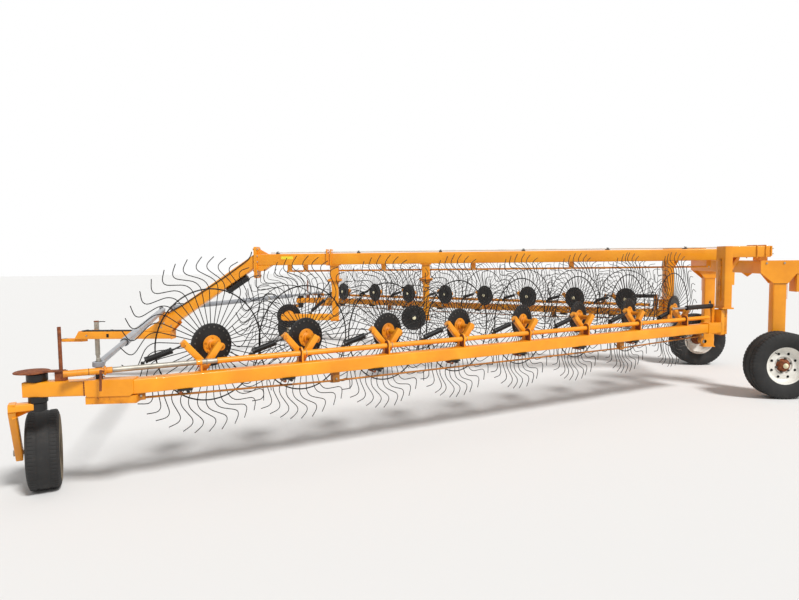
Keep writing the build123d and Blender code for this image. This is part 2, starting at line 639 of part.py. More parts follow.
def write_opening_rams():
    """The two telescopic rams that open the arms."""
    base = Vector(RAM_BASE_X, -RAM_BASE_Y, RAM_BASE_Z)
    eye = (LEFT * Pos(RAM_EYE_S, -RAM_EYE_T, RAM_EYE_Z)).position
    run = (eye - base).normalized()
    barrel = sleeve(base + run * 60, base + run * BARREL_L, BARREL_R, OPEN_ROD_R)
    barrel += rod(base + run * 25, base + run * 60, BARREL_R)
    barrel += rod(base - Vector(0, 0, 22), base + Vector(0, 0, 22), 34)
    barrel -= bore(base - Vector(0, 0, 30), base + Vector(0, 0, 30), BASE_PIN_R + RUN_FIT)
    save_sides("ram_barrel", barrel)
    length = (eye - base).length
    rod_in = rod(eye - run * 30, eye - run * OPEN_ROD_IN, OPEN_ROD_R)
    rod_in += rod(eye - Vector(0, 0, 18), eye + Vector(0, 0, 18), EYE_BORE_R + 16)
    rod_in -= bore(eye - Vector(0, 0, 30), eye + Vector(0, 0, 30), EYE_BORE_R)
    save_sides("ram_rod", rod_in)
    print("ram length", round(length, 1), "exposed", round(length - BARREL_L, 1))


write_frame()
write_rear()
write_jack()
write_arms()
write_opening_rams()
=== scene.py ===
import bpy
import math
import numpy as np
from mathutils import Matrix, Vector


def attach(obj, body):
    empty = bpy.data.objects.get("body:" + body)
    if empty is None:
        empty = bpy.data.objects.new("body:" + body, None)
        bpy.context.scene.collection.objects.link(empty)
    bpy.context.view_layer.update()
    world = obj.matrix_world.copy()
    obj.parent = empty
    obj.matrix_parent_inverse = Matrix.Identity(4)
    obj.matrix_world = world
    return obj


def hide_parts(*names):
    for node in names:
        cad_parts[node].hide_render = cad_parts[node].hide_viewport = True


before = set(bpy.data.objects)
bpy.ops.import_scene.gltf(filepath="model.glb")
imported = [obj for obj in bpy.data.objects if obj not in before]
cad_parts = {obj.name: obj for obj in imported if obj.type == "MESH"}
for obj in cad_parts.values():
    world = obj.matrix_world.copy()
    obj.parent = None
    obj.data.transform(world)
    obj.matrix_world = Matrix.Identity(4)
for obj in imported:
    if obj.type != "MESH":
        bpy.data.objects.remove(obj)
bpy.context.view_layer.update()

shiftX = 3.93          # from the hinge datum to the middle of the machine, in metres
ex, ey, ez = np.eye(3)
print("frame loaded")

# shapes worked out on grids: each is (points, faces)

def polar(r, angle, y=0.0):
    # point at radius r and angle from +X towards +Z, in the wheel's plane, y along its axle
    r, angle, y = np.broadcast_arrays(*(np.asarray(v, float) for v in (r, angle, y)))
    return np.stack([r * np.cos(angle), y, r * np.sin(angle)], -1)


def gridFaces(rows, cols, wrapRows, wrapCols, start=0):
    # quads between neighbouring rows and columns of a grid of points, closed where asked
    i = np.arange(rows if wrapRows else rows - 1)[:, None]
    j = np.arange(cols if wrapCols else cols - 1)[None, :]
    a, b = i * cols + j, i * cols + (j + 1) % cols
    c, d = ((i + 1) % rows) * cols + (j + 1) % cols, ((i + 1) % rows) * cols + j
    return (np.stack([a, b, c, d], -1).reshape(-1, 4) + start).tolist()


def unit(v):
    # the vector or vectors at length 1
    v = np.asarray(v, float)
    return v / np.linalg.norm(v, axis=-1, keepdims=True)


def sweep(path, section, up, closed=False):
    # a flat section carried along a path: point = path + sideways * section x + upwards * section y,
    # where sideways is across the run and the up direction
    path, section = np.asarray(path, float), np.asarray(section, float)
    run = unit(np.roll(path, -1, 0) - np.roll(path, 1, 0) if closed else np.gradient(path, axis=0))
    side = unit(np.cross(run, np.broadcast_to(np.asarray(up, float), run.shape)))
    lift = np.cross(side, run)
    pts = path[:, None] + side[:, None] * section[None, :, 0:1] + lift[:, None] * section[None, :, 1:2]
    rows, cols = pts.shape[:2]
    faces = gridFaces(rows, cols, closed, True)
    if not closed:
        faces += [list(range(cols))[::-1], list(range((rows - 1) * cols, rows * cols))]
    return pts.reshape(-1, 3), faces


def circle(r, sides=16):
    # points of a circle, turning so that the swept wall faces out
    a = np.linspace(0, 2 * np.pi, sides, endpoint=False)
    return np.stack([r * np.cos(a), -r * np.sin(a)], -1)


def roundedBox(wide, high, corner, steps=3):
    # rectangle whose corners are quarter circles
    a = np.linspace(0, np.pi / 2, steps + 1)
    pts = []
    for k, (sx, sy) in enumerate([(1, -1), (-1, -1), (-1, 1), (1, 1)]):
        turn = a + k * np.pi / 2
        centre = np.array([sx * (wide / 2 - corner), sy * (high / 2 - corner)])
        pts.append(corner * np.stack([np.cos(turn), -np.sin(turn)], -1) + centre)
    return np.concatenate(pts)


def lathe(profile, steps=48):
    # closed outline of (radius, y) turned about the Y axis: point = (r cos a, y, r sin a)
    profile = np.asarray(profile, float)
    a = np.linspace(0, 2 * np.pi, steps, endpoint=False)
    pts = polar(profile[None, :, 0], a[:, None], profile[None, :, 1])
    return pts.reshape(-1, 3), gridFaces(steps, len(profile), True, True)


def rounded(points, radius, steps=5):
    # a run of straight lengths whose corners are rounded: each corner is the parabola from
    # radius before it to radius after it
    p = np.asarray(points, float)
    out = [p[:1]]
    t = np.linspace(0, 1, steps)[:, None]
    for a, b, c, r in zip(p[:-2], p[1:-1], p[2:], np.broadcast_to(radius, len(p) - 2)):
        s, e = b + unit(a - b) * r, b + unit(c - b) * r
        out.append((1 - t) ** 2 * s + 2 * t * (1 - t) * b + t ** 2 * e)
    return np.concatenate(out + [p[-1:]])


def join(shapes):
    # several shapes as one
    pts, faces, n = [], [], 0
    for p, f in shapes:
        pts.append(p)
        faces += [[k + n for k in q] for q in f]
        n += len(p)
    return np.concatenate(pts), faces


def moved(shape, origin=(0, 0, 0), x=ex, y=ey, z=ez):
    # the shape with its own axes laid along x, y and z at the origin
    pts, faces = shape
    return pts @ np.array([x, y, z], float) + np.asarray(origin, float), faces


def mirrored(shape):
    # the shape with y turned to -y, and its faces turned round to match
    pts, faces = shape
    return pts * np.array([1, -1, 1]), [q[::-1] for q in faces]


def upright(profile, at, steps=36):
    # outline of (radius, z) turned about a vertical line through a point
    return moved(lathe(profile, steps), at, ex, ez, -ey)


def block(x, y, z, place=lambda *p: p):
    # a block between two values on each axis of a place
    corner = [place(a, b, c) for a in x for b in y for c in z]
    faces = [[0, 1, 3, 2], [4, 6, 7, 5], [0, 4, 5, 1], [2, 3, 7, 6], [0, 2, 6, 4], [1, 5, 7, 3]]
    return np.array(corner, float), faces


def prism(outline, thick):
    # a flat plate: its outline in space, half the thickness vector on each side
    p, d = np.asarray(outline, float), np.asarray(thick, float) / 2
    n = len(p)
    i = np.arange(n)
    walls = np.stack([i, (i + 1) % n, (i + 1) % n + n, i + n], -1).tolist()
    return np.concatenate([p - d, p + d]), walls + [list(range(n))[::-1], list(range(n, 2 * n))]


def plate(outline, y, thick):
    # a flat plate standing along the machine: (x, z) points, at y
    return prism([(x, y, z) for x, z in outline], (0, thick, 0))


def arch(x, z, wide, high):
    # nine points of the upper half of an ellipse about (x, z)
    return [(x + wide * math.cos(b), z + high * math.sin(b)) for b in np.linspace(0, np.pi, 9)]


def boxBeam(start, end, wide, high, corner=0.008, up=ez):
    # rounded box section carried along a straight run
    return sweep([start, end], roundedBox(wide, high, corner), up)


def bar(start, end, r, sides=16, soft=0.1):
    # round bar whose ends are chamfered by soft * r
    start, end = np.asarray(start, float), np.asarray(end, float)
    run = unit(end - start)
    c = soft * r
    path = np.stack([start, start + run * c, end - run * c, end])
    pts, faces = sweep(path, circle(1.0, sides), ez if abs(run[2]) < 0.9 else ex)
    scale = np.array([r - c, r, r, r - c])[:, None, None]
    return (path[:, None] + (pts.reshape(4, sides, 3) - path[:, None]) * scale).reshape(-1, 3), faces


def bent(points, r, bend=0.04, sides=10, up=ez):
    # round tube along straight runs with rounded corners
    return sweep(rounded(points, bend), circle(r, sides), up)


def coil(start, end, r, wire, turns, around=12, sides=5):
    # helix about a straight line: point = along the line + r cos a sideways + r sin a upwards
    t = np.linspace(0, 1, turns * around + 1)[:, None]
    run = unit(end - start)
    side = unit(np.cross(run, ez))
    a = 2 * np.pi * turns * t
    path = start + (end - start) * t + r * (np.cos(a) * side + np.sin(a) * np.cross(side, run))
    return sweep(path, circle(wire, sides), run)


def hexHead(centre, axis, r, thick):
    # bolt head: six-sided bar from the centre out along the axis
    return bar(centre, np.asarray(centre, float) + unit(axis) * thick, r, 6)


def weld(start, end, r=0.004):
    # rippled bead along a seam: radius = r (1 + 0.25 sin) along the run
    run = np.asarray(end, float) - np.asarray(start, float)
    length = np.linalg.norm(run)
    n = max(6, int(length / 0.005))
    path = np.linspace(start, end, n)
    up = (0.1, 0.2, 1.0) if abs(run[2]) < 0.8 * length else (1.0, 0.3, 0.1)
    pts, faces = sweep(path, circle(1.0, 6), up)
    size = r * (1 + 0.25 * np.sin(np.arange(n) * 1.9))
    size[[0, -1]] *= 0.4
    pts = path[:, None] + (pts.reshape(n, 6, 3) - path[:, None]) * size[:, None, None]
    return pts.reshape(-1, 3), faces


# materials

def linear(hexText):
    # sRGB hex to linear light
    c = np.array([int(hexText[i:i + 2], 16) for i in (1, 3, 5)]) / 255
    c = np.where(c <= 0.04045, c / 12.92, ((c + 0.055) / 1.055) ** 2.4)
    return (*c.tolist(), 1.0)


def addNode(tree, kind, settings=None, links=None):
    # a node with its settings, and links as {input: output socket}
    node = tree.nodes.new(kind)
    for key, value in (settings or {}).items():
        if isinstance(key, int) or key in node.inputs:
            node.inputs[key].default_value = value
        else:
            setattr(node, key, value)
    for key, out in (links or {}).items():
        tree.links.new(out, node.inputs[key])
    return node


def ramp(tree, fac, stops):
    # colour as a blend between stops of (place, hex)
    node = addNode(tree, "ShaderNodeValToRGB", links={"Fac": fac})
    marks = node.color_ramp.elements
    marks[0].position, marks[0].color = stops[0][0], linear(stops[0][1])
    marks[1].position, marks[1].color = stops[-1][0], linear(stops[-1][1])
    for place, colour in stops[1:-1]:
        marks.new(place).color = linear(colour)
    return node.outputs["Color"]


def finish(name, rough, metallic=0.0, coat=0.0):
    # an empty finish: (material, tree, shader, object coordinates)
    mat = bpy.data.materials.new(name)
    mat.use_nodes = True
    shader = mat.node_tree.nodes["Principled BSDF"]
    for key, value in {"Roughness": rough, "Metallic": metallic, "Coat Weight": coat, "IOR": 1.5}.items():
        shader.inputs[key].default_value = value
    return mat, mat.node_tree, shader, addNode(mat.node_tree, "ShaderNodeTexCoord").outputs["Object"]


def noise(tree, place, scale, detail, rough=0.5):
    # soft noise over patches of 1/scale metres
    settings = {"Scale": scale, "Detail": detail, "Roughness": rough}
    return addNode(tree, "ShaderNodeTexNoise", settings, {"Vector": place}).outputs["Fac"]


def speckled(name, stops, scale, rough, metallic=0.0, coat=0.0, bump=0.0, bumpScale=400.0, spots=None):
    # paint or metal whose colour drifts over patches of 1/scale metres, with fine grain as bump,
    # and spots = (colour, scale, how rare) of a second finish showing through
    mat, tree, shader, place = finish(name, rough, metallic, coat)
    colour = ramp(tree, noise(tree, place, scale, 5.0, 0.6), stops)
    if spots:
        limits = {"From Min": spots[2], "From Max": spots[2] + 0.06}
        mask = addNode(tree, "ShaderNodeMapRange", limits, {"Value": noise(tree, place, spots[1], 6.0, 0.7)})
        mix = addNode(tree, "ShaderNodeMix", {"data_type": "RGBA"}, {0: mask.outputs["Result"], 6: colour})
        mix.inputs[7].default_value = linear(spots[0])
        colour = mix.outputs[2]
    tree.links.new(colour, shader.inputs["Base Color"])
    if bump:
        grain = noise(tree, place, bumpScale, 3.0)
        dent = addNode(tree, "ShaderNodeBump", {"Strength": bump, "Distance": 0.002}, {"Height": grain})
        tree.links.new(dent.outputs["Normal"], shader.inputs["Normal"])
    return mat


finishes = {
    # orange-yellow enamel sprayed over box steel: even, slightly sun-faded, chipped to brown here and there
    "enamel": speckled("orangeYellowEnamel", [(0.35, "#E58E06"), (0.55, "#F09A0C"), (0.75, "#F3A61C")],
        3.0, 0.42, coat=0.15, bump=0.05, spots=("#7A4A1C", 22.0, 0.7)),
    # the same enamel on castings and clamps, with more rust showing; on the lip under the arm's sleeve it is
    # painted shade
    "worn": speckled("wornAndShadeEnamel", [(0.3, "#B96C0A"), (0.5, "#E28C0C"), (0.75, "#F0A01A")], 9.0, 0.5,
        bump=0.08, spots=("#6B3A1A", 30.0, 0.6)),
    # enamel darkened as painted shade, with rust spots, on the tie rods below the arms
    "shadeAndRust": speckled("shadeAndRustEnamel", [(0.3, "#7A4A10"), (0.55, "#A8680F"), (0.8, "#CC8414")], 12.0, 0.6,
        bump=0.1, spots=("#5A3018", 30.0, 0.58)),
    # a strip of paler yellow film stuck on the beam
    "film": speckled("yellowFilm", [(0.3, "#EBD321"), (0.7, "#F4E24A")], 12.0, 0.35),
    # drawn spring wire, blackened, polished lighter where it rubs the crop
    "wire": speckled("springWire", [(0.3, "#1A1817"), (0.6, "#2B2927"), (0.85, "#4A4642")], 14.0, 0.38,
        metallic=0.75, bump=0.05),
    # discs, springs, collars and the lift rams' barrels, dull black with a little rust
    "black": speckled("blackenedPlate", [(0.3, "#0F0E0E"), (0.7, "#1E1C1B")], 12.0, 0.42,
        metallic=0.2, bump=0.08, spots=("#5A3A22", 26.0, 0.68)),
    # tyre rubber, greyer where it has worn, and the dust on a castor's sidewall
    "rubber": speckled("tyreRubber", [(0.3, "#161515"), (0.6, "#222120"), (0.85, "#3A3733")], 9.0, 0.78,
        bump=0.25, bumpScale=260.0),
    "dust": speckled("dustySidewall", [(0.3, "#5A4F40"), (0.6, "#84765E"), (0.85, "#A39478")], 11.0, 0.85,
        bump=0.2, bumpScale=260.0),
    "hose": speckled("hoseRubber", [(0.3, "#141414"), (0.8, "#26252A")], 16.0, 0.55, bump=0.1),
    # white and grey enamels on rims, pipes and ram barrels
    "rimWhite": speckled("rimWhiteEnamel", [(0.3, "#D9D6CC"), (0.7, "#F1EEE6")], 7.0, 0.4,
        coat=0.2, bump=0.04, spots=("#8A5A34", 24.0, 0.69)),
    "white": speckled("pipeWhiteEnamel", [(0.3, "#CFCFCB"), (0.7, "#E9E8E2")], 8.0, 0.4),
    "grey": speckled("ramGreyEnamel", [(0.3, "#7C7F84"), (0.7, "#9A9CA0")], 6.0, 0.38,
        coat=0.2, bump=0.03, spots=("#6A5444", 30.0, 0.71)),
    # metals: dulled chrome, rivet heads, zinc that has weathered, and plain rust, which on the pipe guides'
    # front faces is painted shade
    "chrome": speckled("dulledChrome", [(0.3, "#8E9094"), (0.7, "#A9ABAE")], 5.0, 0.32, metallic=0.8),
    "heads": speckled("dulledHead", [(0.3, "#3F3D3B"), (0.7, "#6B6863")], 30.0, 0.42, metallic=0.5),
    "zinc": speckled("weatheredZinc", [(0.3, "#8F8A80"), (0.7, "#B7B1A4")], 15.0, 0.5,
        metallic=0.6, bump=0.06, spots=("#7A5232", 30.0, 0.64)),
    "rust": speckled("rustAndShadeSteel", [(0.25, "#4A2414"), (0.5, "#7C4121"), (0.8, "#A8663A")], 30.0, 0.85,
        bump=0.3, bumpScale=300.0),
    # cream plastic caps, and painted shade for the dark inside of an opening
    "cream": speckled("creamCap", [(0.3, "#D8CFA8"), (0.7, "#EDE6C4")], 20.0, 0.45),
    "hole": speckled("paintedShadeOpening", [(0.3, "#070707"), (0.7, "#101010")], 10.0, 0.9),
}


def of(name, *shapes):
    # the shapes as parts with one finish
    return [(name, s) for s in shapes]


def outward(shape):
    # the shape with its faces turned round if their signed volume, a fan of triangles from each face's
    # first corner, is negative
    pts, faces = shape
    middle = pts - pts.mean(0)
    total = 0.0
    for count in sorted({len(q) for q in faces}):
        f = np.array([q for q in faces if len(q) == count])
        for k in range(1, count - 1):
            b, c = middle[f[:, k]], middle[f[:, k + 1]]
            total += np.einsum("ij,ij->i", middle[f[:, 0]], np.cross(b, c)).sum()
    return shape if total > 0 else (pts, [q[::-1] for q in faces])


def makePiece(name, body, parts, edge=0.0):
    # parts are (finish name, shape): one mesh with one slot for each finish; it stands for the frame's
    # node of the same name, and edge is the width of its softened edges
    parts = [(f, outward(p)) for f, p in parts]
    names = list(dict.fromkeys(f for f, _ in parts))
    points, faces = join([p for _, p in parts])
    slots = np.concatenate([np.full(len(p[1]), names.index(f)) for f, p in parts])
    mesh = bpy.data.meshes.new(name)
    mesh.from_pydata(points.tolist(), [], faces)
    for n in names:
        mesh.materials.append(finishes[n])
    mesh.polygons.foreach_set("material_index", slots.astype(np.int32))
    mesh.shade_smooth()
    mesh.set_sharp_from_angle(angle=math.radians(35))
    mesh.update()
    piece = bpy.data.objects.new(name, mesh)
    bpy.context.scene.collection.objects.link(piece)
    if edge:
        bevel = piece.modifiers.new("softEdges", "BEVEL")
        bevel.width = edge
        bevel.segments = 2
        bevel.limit_method = "ANGLE"
        bevel.angle_limit = math.radians(50)
        bevel.harden_normals = True
    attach(piece, body)
    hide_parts("".join("_" + c.lower() if c.isupper() or c.isdigit() else c for c in name))


def bothSides(name, body, parts, edge=0.0):
    # the left piece and its mirror image on the right
    makePiece("left" + name, "left_" + body, parts, edge)
    makePiece("right" + name, "right_" + body, [(f, mirrored(p)) for f, p in parts], edge)


def machine(x, y, z):
    # a point given from the hinge datum
    return np.array([x + shiftX, y, z])


def shifted(parts):
    # parts worked out from the hinge datum, moved to the middle of the machine
    return [(f, moved(p, machine(0, 0, 0))) for f, p in parts]


def framePiece(name, parts, edge=0.003):
    # a piece of the frame whose parts are given from the hinge datum
    makePiece(name, "frame", shifted(parts), edge)


# arm places: s outward along the arm, t inboard, z up, for the left arm
arm = dict(angle=30.9, hinge=(-0.08, -0.842), startS=0.095, kinkS=6.45, kink=23.0, beam=0.102, bottom=0.745,
    noseL=0.69, kingpin=0.613, sleeve=0.285, wall=0.006, post=0.455, eyeS=6.64, eyeT=0.095,
    yokeZ=(0.708, 1.002), yokeR=0.052, collar=0.23)
armTurn = math.radians(180 + arm["angle"])
armOut = np.array([math.cos(armTurn), math.sin(armTurn), 0.0])
armIn = np.array([math.sin(armTurn), -math.cos(armTurn), 0.0])
armHinge = machine(*arm["hinge"], 0.0)
stations = [0.65 + 0.762 * i for i in range(8)]


def onArm(s, t, z):
    # place = hinge + outward * s + inboard * t + up * z
    return armHinge + armOut * s + armIn * t + ez * z


def onNose(a, i, z):
    # the same from the kink, turned inboard by its angle
    k = math.radians(arm["kink"])
    return onArm(arm["kinkS"] + a * math.cos(k) - i * math.sin(k), a * math.sin(k) + i * math.cos(k), z)


# finger wheel: 40 hooked tines of 7 mm wire, tied by a hoop, on a black disc
wheel = dict(tines=40, wire=0.0035, radii=[0.1, 0.49, 0.602, 0.679], turns=[0.0, 0.0, 21.5, 14.0],
    bends=[0.085, 0.065], hoopR=0.43, hoopWire=0.0055, discR=0.166, heads=20, headR=0.138, flangeR=0.074,
    bossR=0.036, bossOut=0.042, bossIn=0.028, boltR=0.057)


def tineCrown(seed):
    # each tine is the same bent wire turned to its place, with a little spread of its own:
    # radial run, tangential run, hooked tip; the wire is a circle carried along it
    w = wheel
    own = np.random.default_rng(seed)
    path = rounded(polar(w["radii"], -np.radians(w["turns"])), w["bends"], 7)
    n, count, sides = len(path), w["tines"], 6
    spin = np.arange(count) * 2 * np.pi / count + own.normal(0, 0.008, count)
    reach = np.linalg.norm(path, axis=1)[None, :] / w["radii"][-1]
    lean = own.normal(0, 0.007, count)[:, None] * reach ** 3
    a = spin[:, None] + own.normal(0, 0.02, count)[:, None] * np.clip(reach - 0.6, 0, 1)
    c, s = np.cos(a), np.sin(a)
    pts = np.stack([path[:, 0] * c - path[:, 2] * s, 0.004 + lean, path[:, 0] * s + path[:, 2] * c], -1)
    run = unit(np.gradient(pts, axis=1))
    side = unit(np.cross(run, ey))
    lift = np.cross(side, run)
    q = np.linspace(0, 2 * np.pi, sides, endpoint=False)[None, None, :, None]
    ring = pts[:, :, None] + w["wire"] * (side[:, :, None] * np.cos(q) - lift[:, :, None] * np.sin(q))
    faces = []
    for base in range(0, count * n * sides, n * sides):
        faces += gridFaces(n, sides, False, True, base)
        last = base + (n - 1) * sides
        faces += [list(range(base, base + sides))[::-1], list(range(last, last + sides))]
    return ring.reshape(-1, 3), faces


def fingerWheel(seed):
    # crown, hoop, disc, painted flange in front, hub boss and cream cap behind, rivets and bolts
    w = wheel
    hoopAngles = np.linspace(0, 2 * np.pi, 96, endpoint=False)
    hoop = sweep(polar(w["hoopR"], hoopAngles, -0.006), circle(w["hoopWire"], 8), ey, closed=True)
    r = w["discR"]
    disc = lathe([(0.03, -0.005), (r - 0.004, -0.005), (r, -0.001), (r, 0.0095), (r - 0.006, 0.012),
        (0.135, 0.0105), (0.1, 0.012), (0.03, 0.012)], 64)
    r, b, out, y = w["flangeR"], w["bossR"], w["bossOut"], -w["bossIn"]
    flange = lathe([(0.02, 0.01), (r - 0.003, 0.01), (r, 0.013), (r, 0.018), (r - 0.003, 0.021),
        (b + 0.008, 0.022), (b, 0.028), (b, out - 0.003), (b - 0.004, out), (0.02, out)], 40)
    back = lathe([(0.004, -0.004), (0.075, -0.004), (0.075, -0.012), (b, -0.014), (b, y + 0.003),
        (b - 0.004, y), (0.004, y)], 32)
    cap = lathe([(0.0015, y + 0.001), (0.024, y + 0.001), (0.023, y - 0.006), (0.014, y - 0.01),
        (0.0015, y - 0.011)], 20)
    heads = [hexHead(polar(w["headR"], a, y), (0, d, 0), 0.007, 0.006)
        for a in (np.arange(w["heads"]) + 0.5) * 2 * np.pi / w["heads"]
        for y, d in ((0.011, 1), (-0.004, -1))]
    bolts = [hexHead(polar(w["boltR"], a, 0.02), ey, 0.01, 0.008)
        for a in (np.arange(5) + 0.3) * 2 * np.pi / 5]
    return (of("wire", tineCrown(seed), hoop) + of("black", disc, back) + of("cream", cap)
        + of("worn", flange, *bolts) + of("heads", *heads))


hub = dict(back=0.132, inboard=0.272, z=1.004, angle=46.0)
faceTurn = math.radians(180 + hub["angle"])
faceX = np.array([math.cos(faceTurn), math.sin(faceTurn), 0.0])
faceY = np.array([-math.sin(faceTurn), math.cos(faceTurn), 0.0])
for number, s in zip(range(8, 0, -1), stations):
    centre = onArm(s - hub["back"], hub["inboard"], hub["z"])
    for side, seed, flip in (("left", 100, lambda p: p), ("right", 200, mirrored)):
        parts = [(f, flip(moved(p, centre, faceX, faceY))) for f, p in fingerWheel(seed + number)]
        makePiece(f"{side}FingerWheel{number}", f"{side}_finger_wheel_{number}", parts)
centreWheels = {"front": {"x": -5.527, "y": 0.2, "turn": 192.0, "post": -4.834},
    "rear": {"x": -3.763, "y": -0.2, "turn": 12.0, "post": -3.598}}
centreZ = 0.86
for name, w in centreWheels.items():
    t = math.radians(w["turn"])
    axes = ((math.cos(t), math.sin(t), 0), (-math.sin(t), math.cos(t), 0))
    parts = [(f, moved(p, machine(w["x"], w["y"], centreZ), *axes))
        for f, p in fingerWheel(300 + int(w["turn"]))]
    makePiece(name + "CentreWheel", name + "_centre_wheel", parts)
print("finger wheels made")


armHalf, armLow, armTop = arm["beam"] / 2, arm["bottom"], arm["bottom"] + arm["beam"]
armWide, armSeam = armHalf + arm["wall"], arm["sleeve"] + 0.002


def armBox():
    # arm beam and its nose, with the sleeve over the kink: the sleeve's lower rear corner is cut back,
    # and a stiffening lip lies below it, in the darker worn enamel as painted shade
    a, mid, end, lip = arm, armLow + armHalf, arm["sleeve"], armWide - 0.008
    under, over = armLow - 0.006, armTop + 0.006
    outline = [(-0.035, armLow + 0.012), (-0.01, under), (end - 0.016, under), (end, armLow + 0.008),
        (end, over), (-0.035, over)]
    parts = of("enamel", boxBeam(onArm(a["startS"], 0, mid), onArm(a["kinkS"], 0, mid), a["beam"], a["beam"]),
        boxBeam(onNose(-0.03, 0, mid), onNose(a["noseL"], 0, mid), a["beam"], a["beam"]),
        prism([onNose(x, 0, z) for x, z in outline], onNose(0, armWide, 0) - onNose(0, -armWide, 0)),
        weld(onNose(armSeam, -armHalf, armTop + 0.002), onNose(armSeam, armHalf, armTop + 0.002)))
    # the lip takes the darker worn enamel as painted shade
    return parts + of("worn", block((-0.05, end), (-lip, lip), (0.686, under), onNose))


def noseFittings():
    # kingpin boss with its ring and collar, and the rusty disc and the thin rod on their post
    pin, under, p = onNose(arm["kingpin"], 0, 0), armLow - 0.04, arm["post"]
    ring = [(0.054, 0.85), (0.063, 0.85), (0.066, 0.855), (0.066, 0.896), (0.063, 0.9), (0.054, 0.9)]
    collar = [(0.046, under), (0.058, under), (0.06, under + 0.003), (0.06, armLow), (0.046, armLow)]
    boss = [(0.026, under), (0.048, under), (0.048, armTop + 0.033), (0.026, armTop + 0.033)]
    parts = of("black", upright(ring, pin, 40), upright(collar, pin), upright(boss, pin))
    disc = [(0.001, 0.91), (0.06, 0.909), (0.105, 0.907), (0.112, 0.909), (0.112, 0.915), (0.105, 0.918),
        (0.06, 0.918), (0.001, 0.919)]
    return parts + of("rust", upright(disc, onNose(0.645, 0, 0), 48),
        weld(onNose(armSeam, -armWide, armLow), onNose(armSeam, -armWide, armTop)),
        block((p - 0.035, p + 0.035), (-0.02, 0.02), (armTop, 0.917), onNose),
        block((p - 0.02, 0.6), (-0.03, 0.03), (0.908, 0.919), onNose),
        bar(onNose(p, 0, 0.915), onNose(p, 0, 1.215), 0.012, 20))


def hingeYoke():
    # collar and yoke at the hinge
    start, (z0, z1), r = arm["startS"], arm["yokeZ"], arm["yokeR"]
    reach, gap = start + arm["collar"], 0.008
    across, height = (-armHalf - gap, armHalf + gap), (armLow - gap, armTop + gap)
    parts = of("enamel", block((start, reach), across, height, onArm),
        block((0.045, start + 0.01), across, arm["yokeZ"], onArm),
        *[weld(onArm(reach, -armHalf, z), onArm(reach, armHalf, z)) for z in height])
    tube = [(0.026, z0), (r - 0.003, z0), (r, z0 + 0.003), (r, z1 - 0.003), (r - 0.003, z1), (0.026, z1)]
    return parts + of("worn", upright(tube, armHinge))


def station(s):
    # clamp plate under the beam with its bolts and two short bars
    c, under, z = s + 0.13, armLow - 0.012, armLow - 0.022
    parts = of("black",
        block((c - 0.06, c + 0.04), (-armHalf - 0.01, armHalf + 0.01), (under, armLow), onArm),
        bar(onArm(c - 0.035, -0.045, z), onArm(c - 0.035, 0.06, z), 0.012))
    parts += of("rust", bar(onArm(c + 0.02, -0.055, z), onArm(c + 0.02, 0.05, z), 0.012))
    parts += of("zinc", *[hexHead(onArm(c + d, t, under), -ez, 0.008, 0.007) for d in (-0.045, 0.03)
        for t in (-0.05, 0.05)])
    # guide: an upright plate across the arm with a round top and a rust-coloured sheet of painted shade on
    # its front face, for the pipe to run through; at the last station only a thin plate under the pipe
    at = s - 0.008
    if s == stations[-1]:
        return parts + of("worn", block((at - 0.006, at + 0.006), (0.0, 0.048), (armTop, 0.8925), onArm))
    rim = [(0.064, armTop), *arch(0.024, 0.93, 0.04, 0.036), (-0.016, armTop)]
    outline = [onArm(at, t, z) for t, z in rim]
    face = np.array(outline) + armOut * 0.007
    # a rust-coloured sheet just inside the plate's front face: painted shade
    drawn = face * 0.88 + onArm(at + 0.007, 0.024, 0.92) * 0.12
    drawn[[0, -1]] = face[[0, -1]] * 0.9 + face[[-1, 0]] * 0.1
    return parts + of("enamel", prism(outline, armOut * 0.012)) + of("rust", prism(drawn, armOut * 0.002))


def ramPins():
    # pin for the opening ram, the small rusty pin that hangs beside it, and the foot of the lift ram
    s, t = arm["eyeS"], arm["eyeT"]
    parts = of("zinc", bar(onArm(s, t, armLow + 0.03), onArm(s, t, 0.992), 0.015))
    parts += of("black", block((s - 0.022, s + 0.022), (0.07, 0.12), (armTop + 0.006, 0.925), onArm))
    parts += of("rust", bar(onArm(6.633, -0.045, 0.93), onArm(6.64, -0.05, 0.79), 0.008, 16),
        bar(onArm(6.605, 0.02, 0.905), onArm(6.633, -0.048, 0.928), 0.005, 10))
    return parts + of("worn", block((0.125, 0.17), (0.014, 0.034), (armTop + 0.008, 1.072), onArm))


armParts = armBox() + noseFittings() + hingeYoke()
for s in stations:
    armParts += station(s)
bothSides("ArmBeam", "arm", armParts + ramPins(), 0.003)

# V crank: two box legs on a pivot, with the axle that holds the finger wheel
crank = dict(wide=0.054 * 0.93, high=0.048, t=0.105, pivotZ=0.8, pivotR=0.034, rear=0.169, front=0.105,
    rearTop=1.036, frontTop=1.064, stub=0.022)


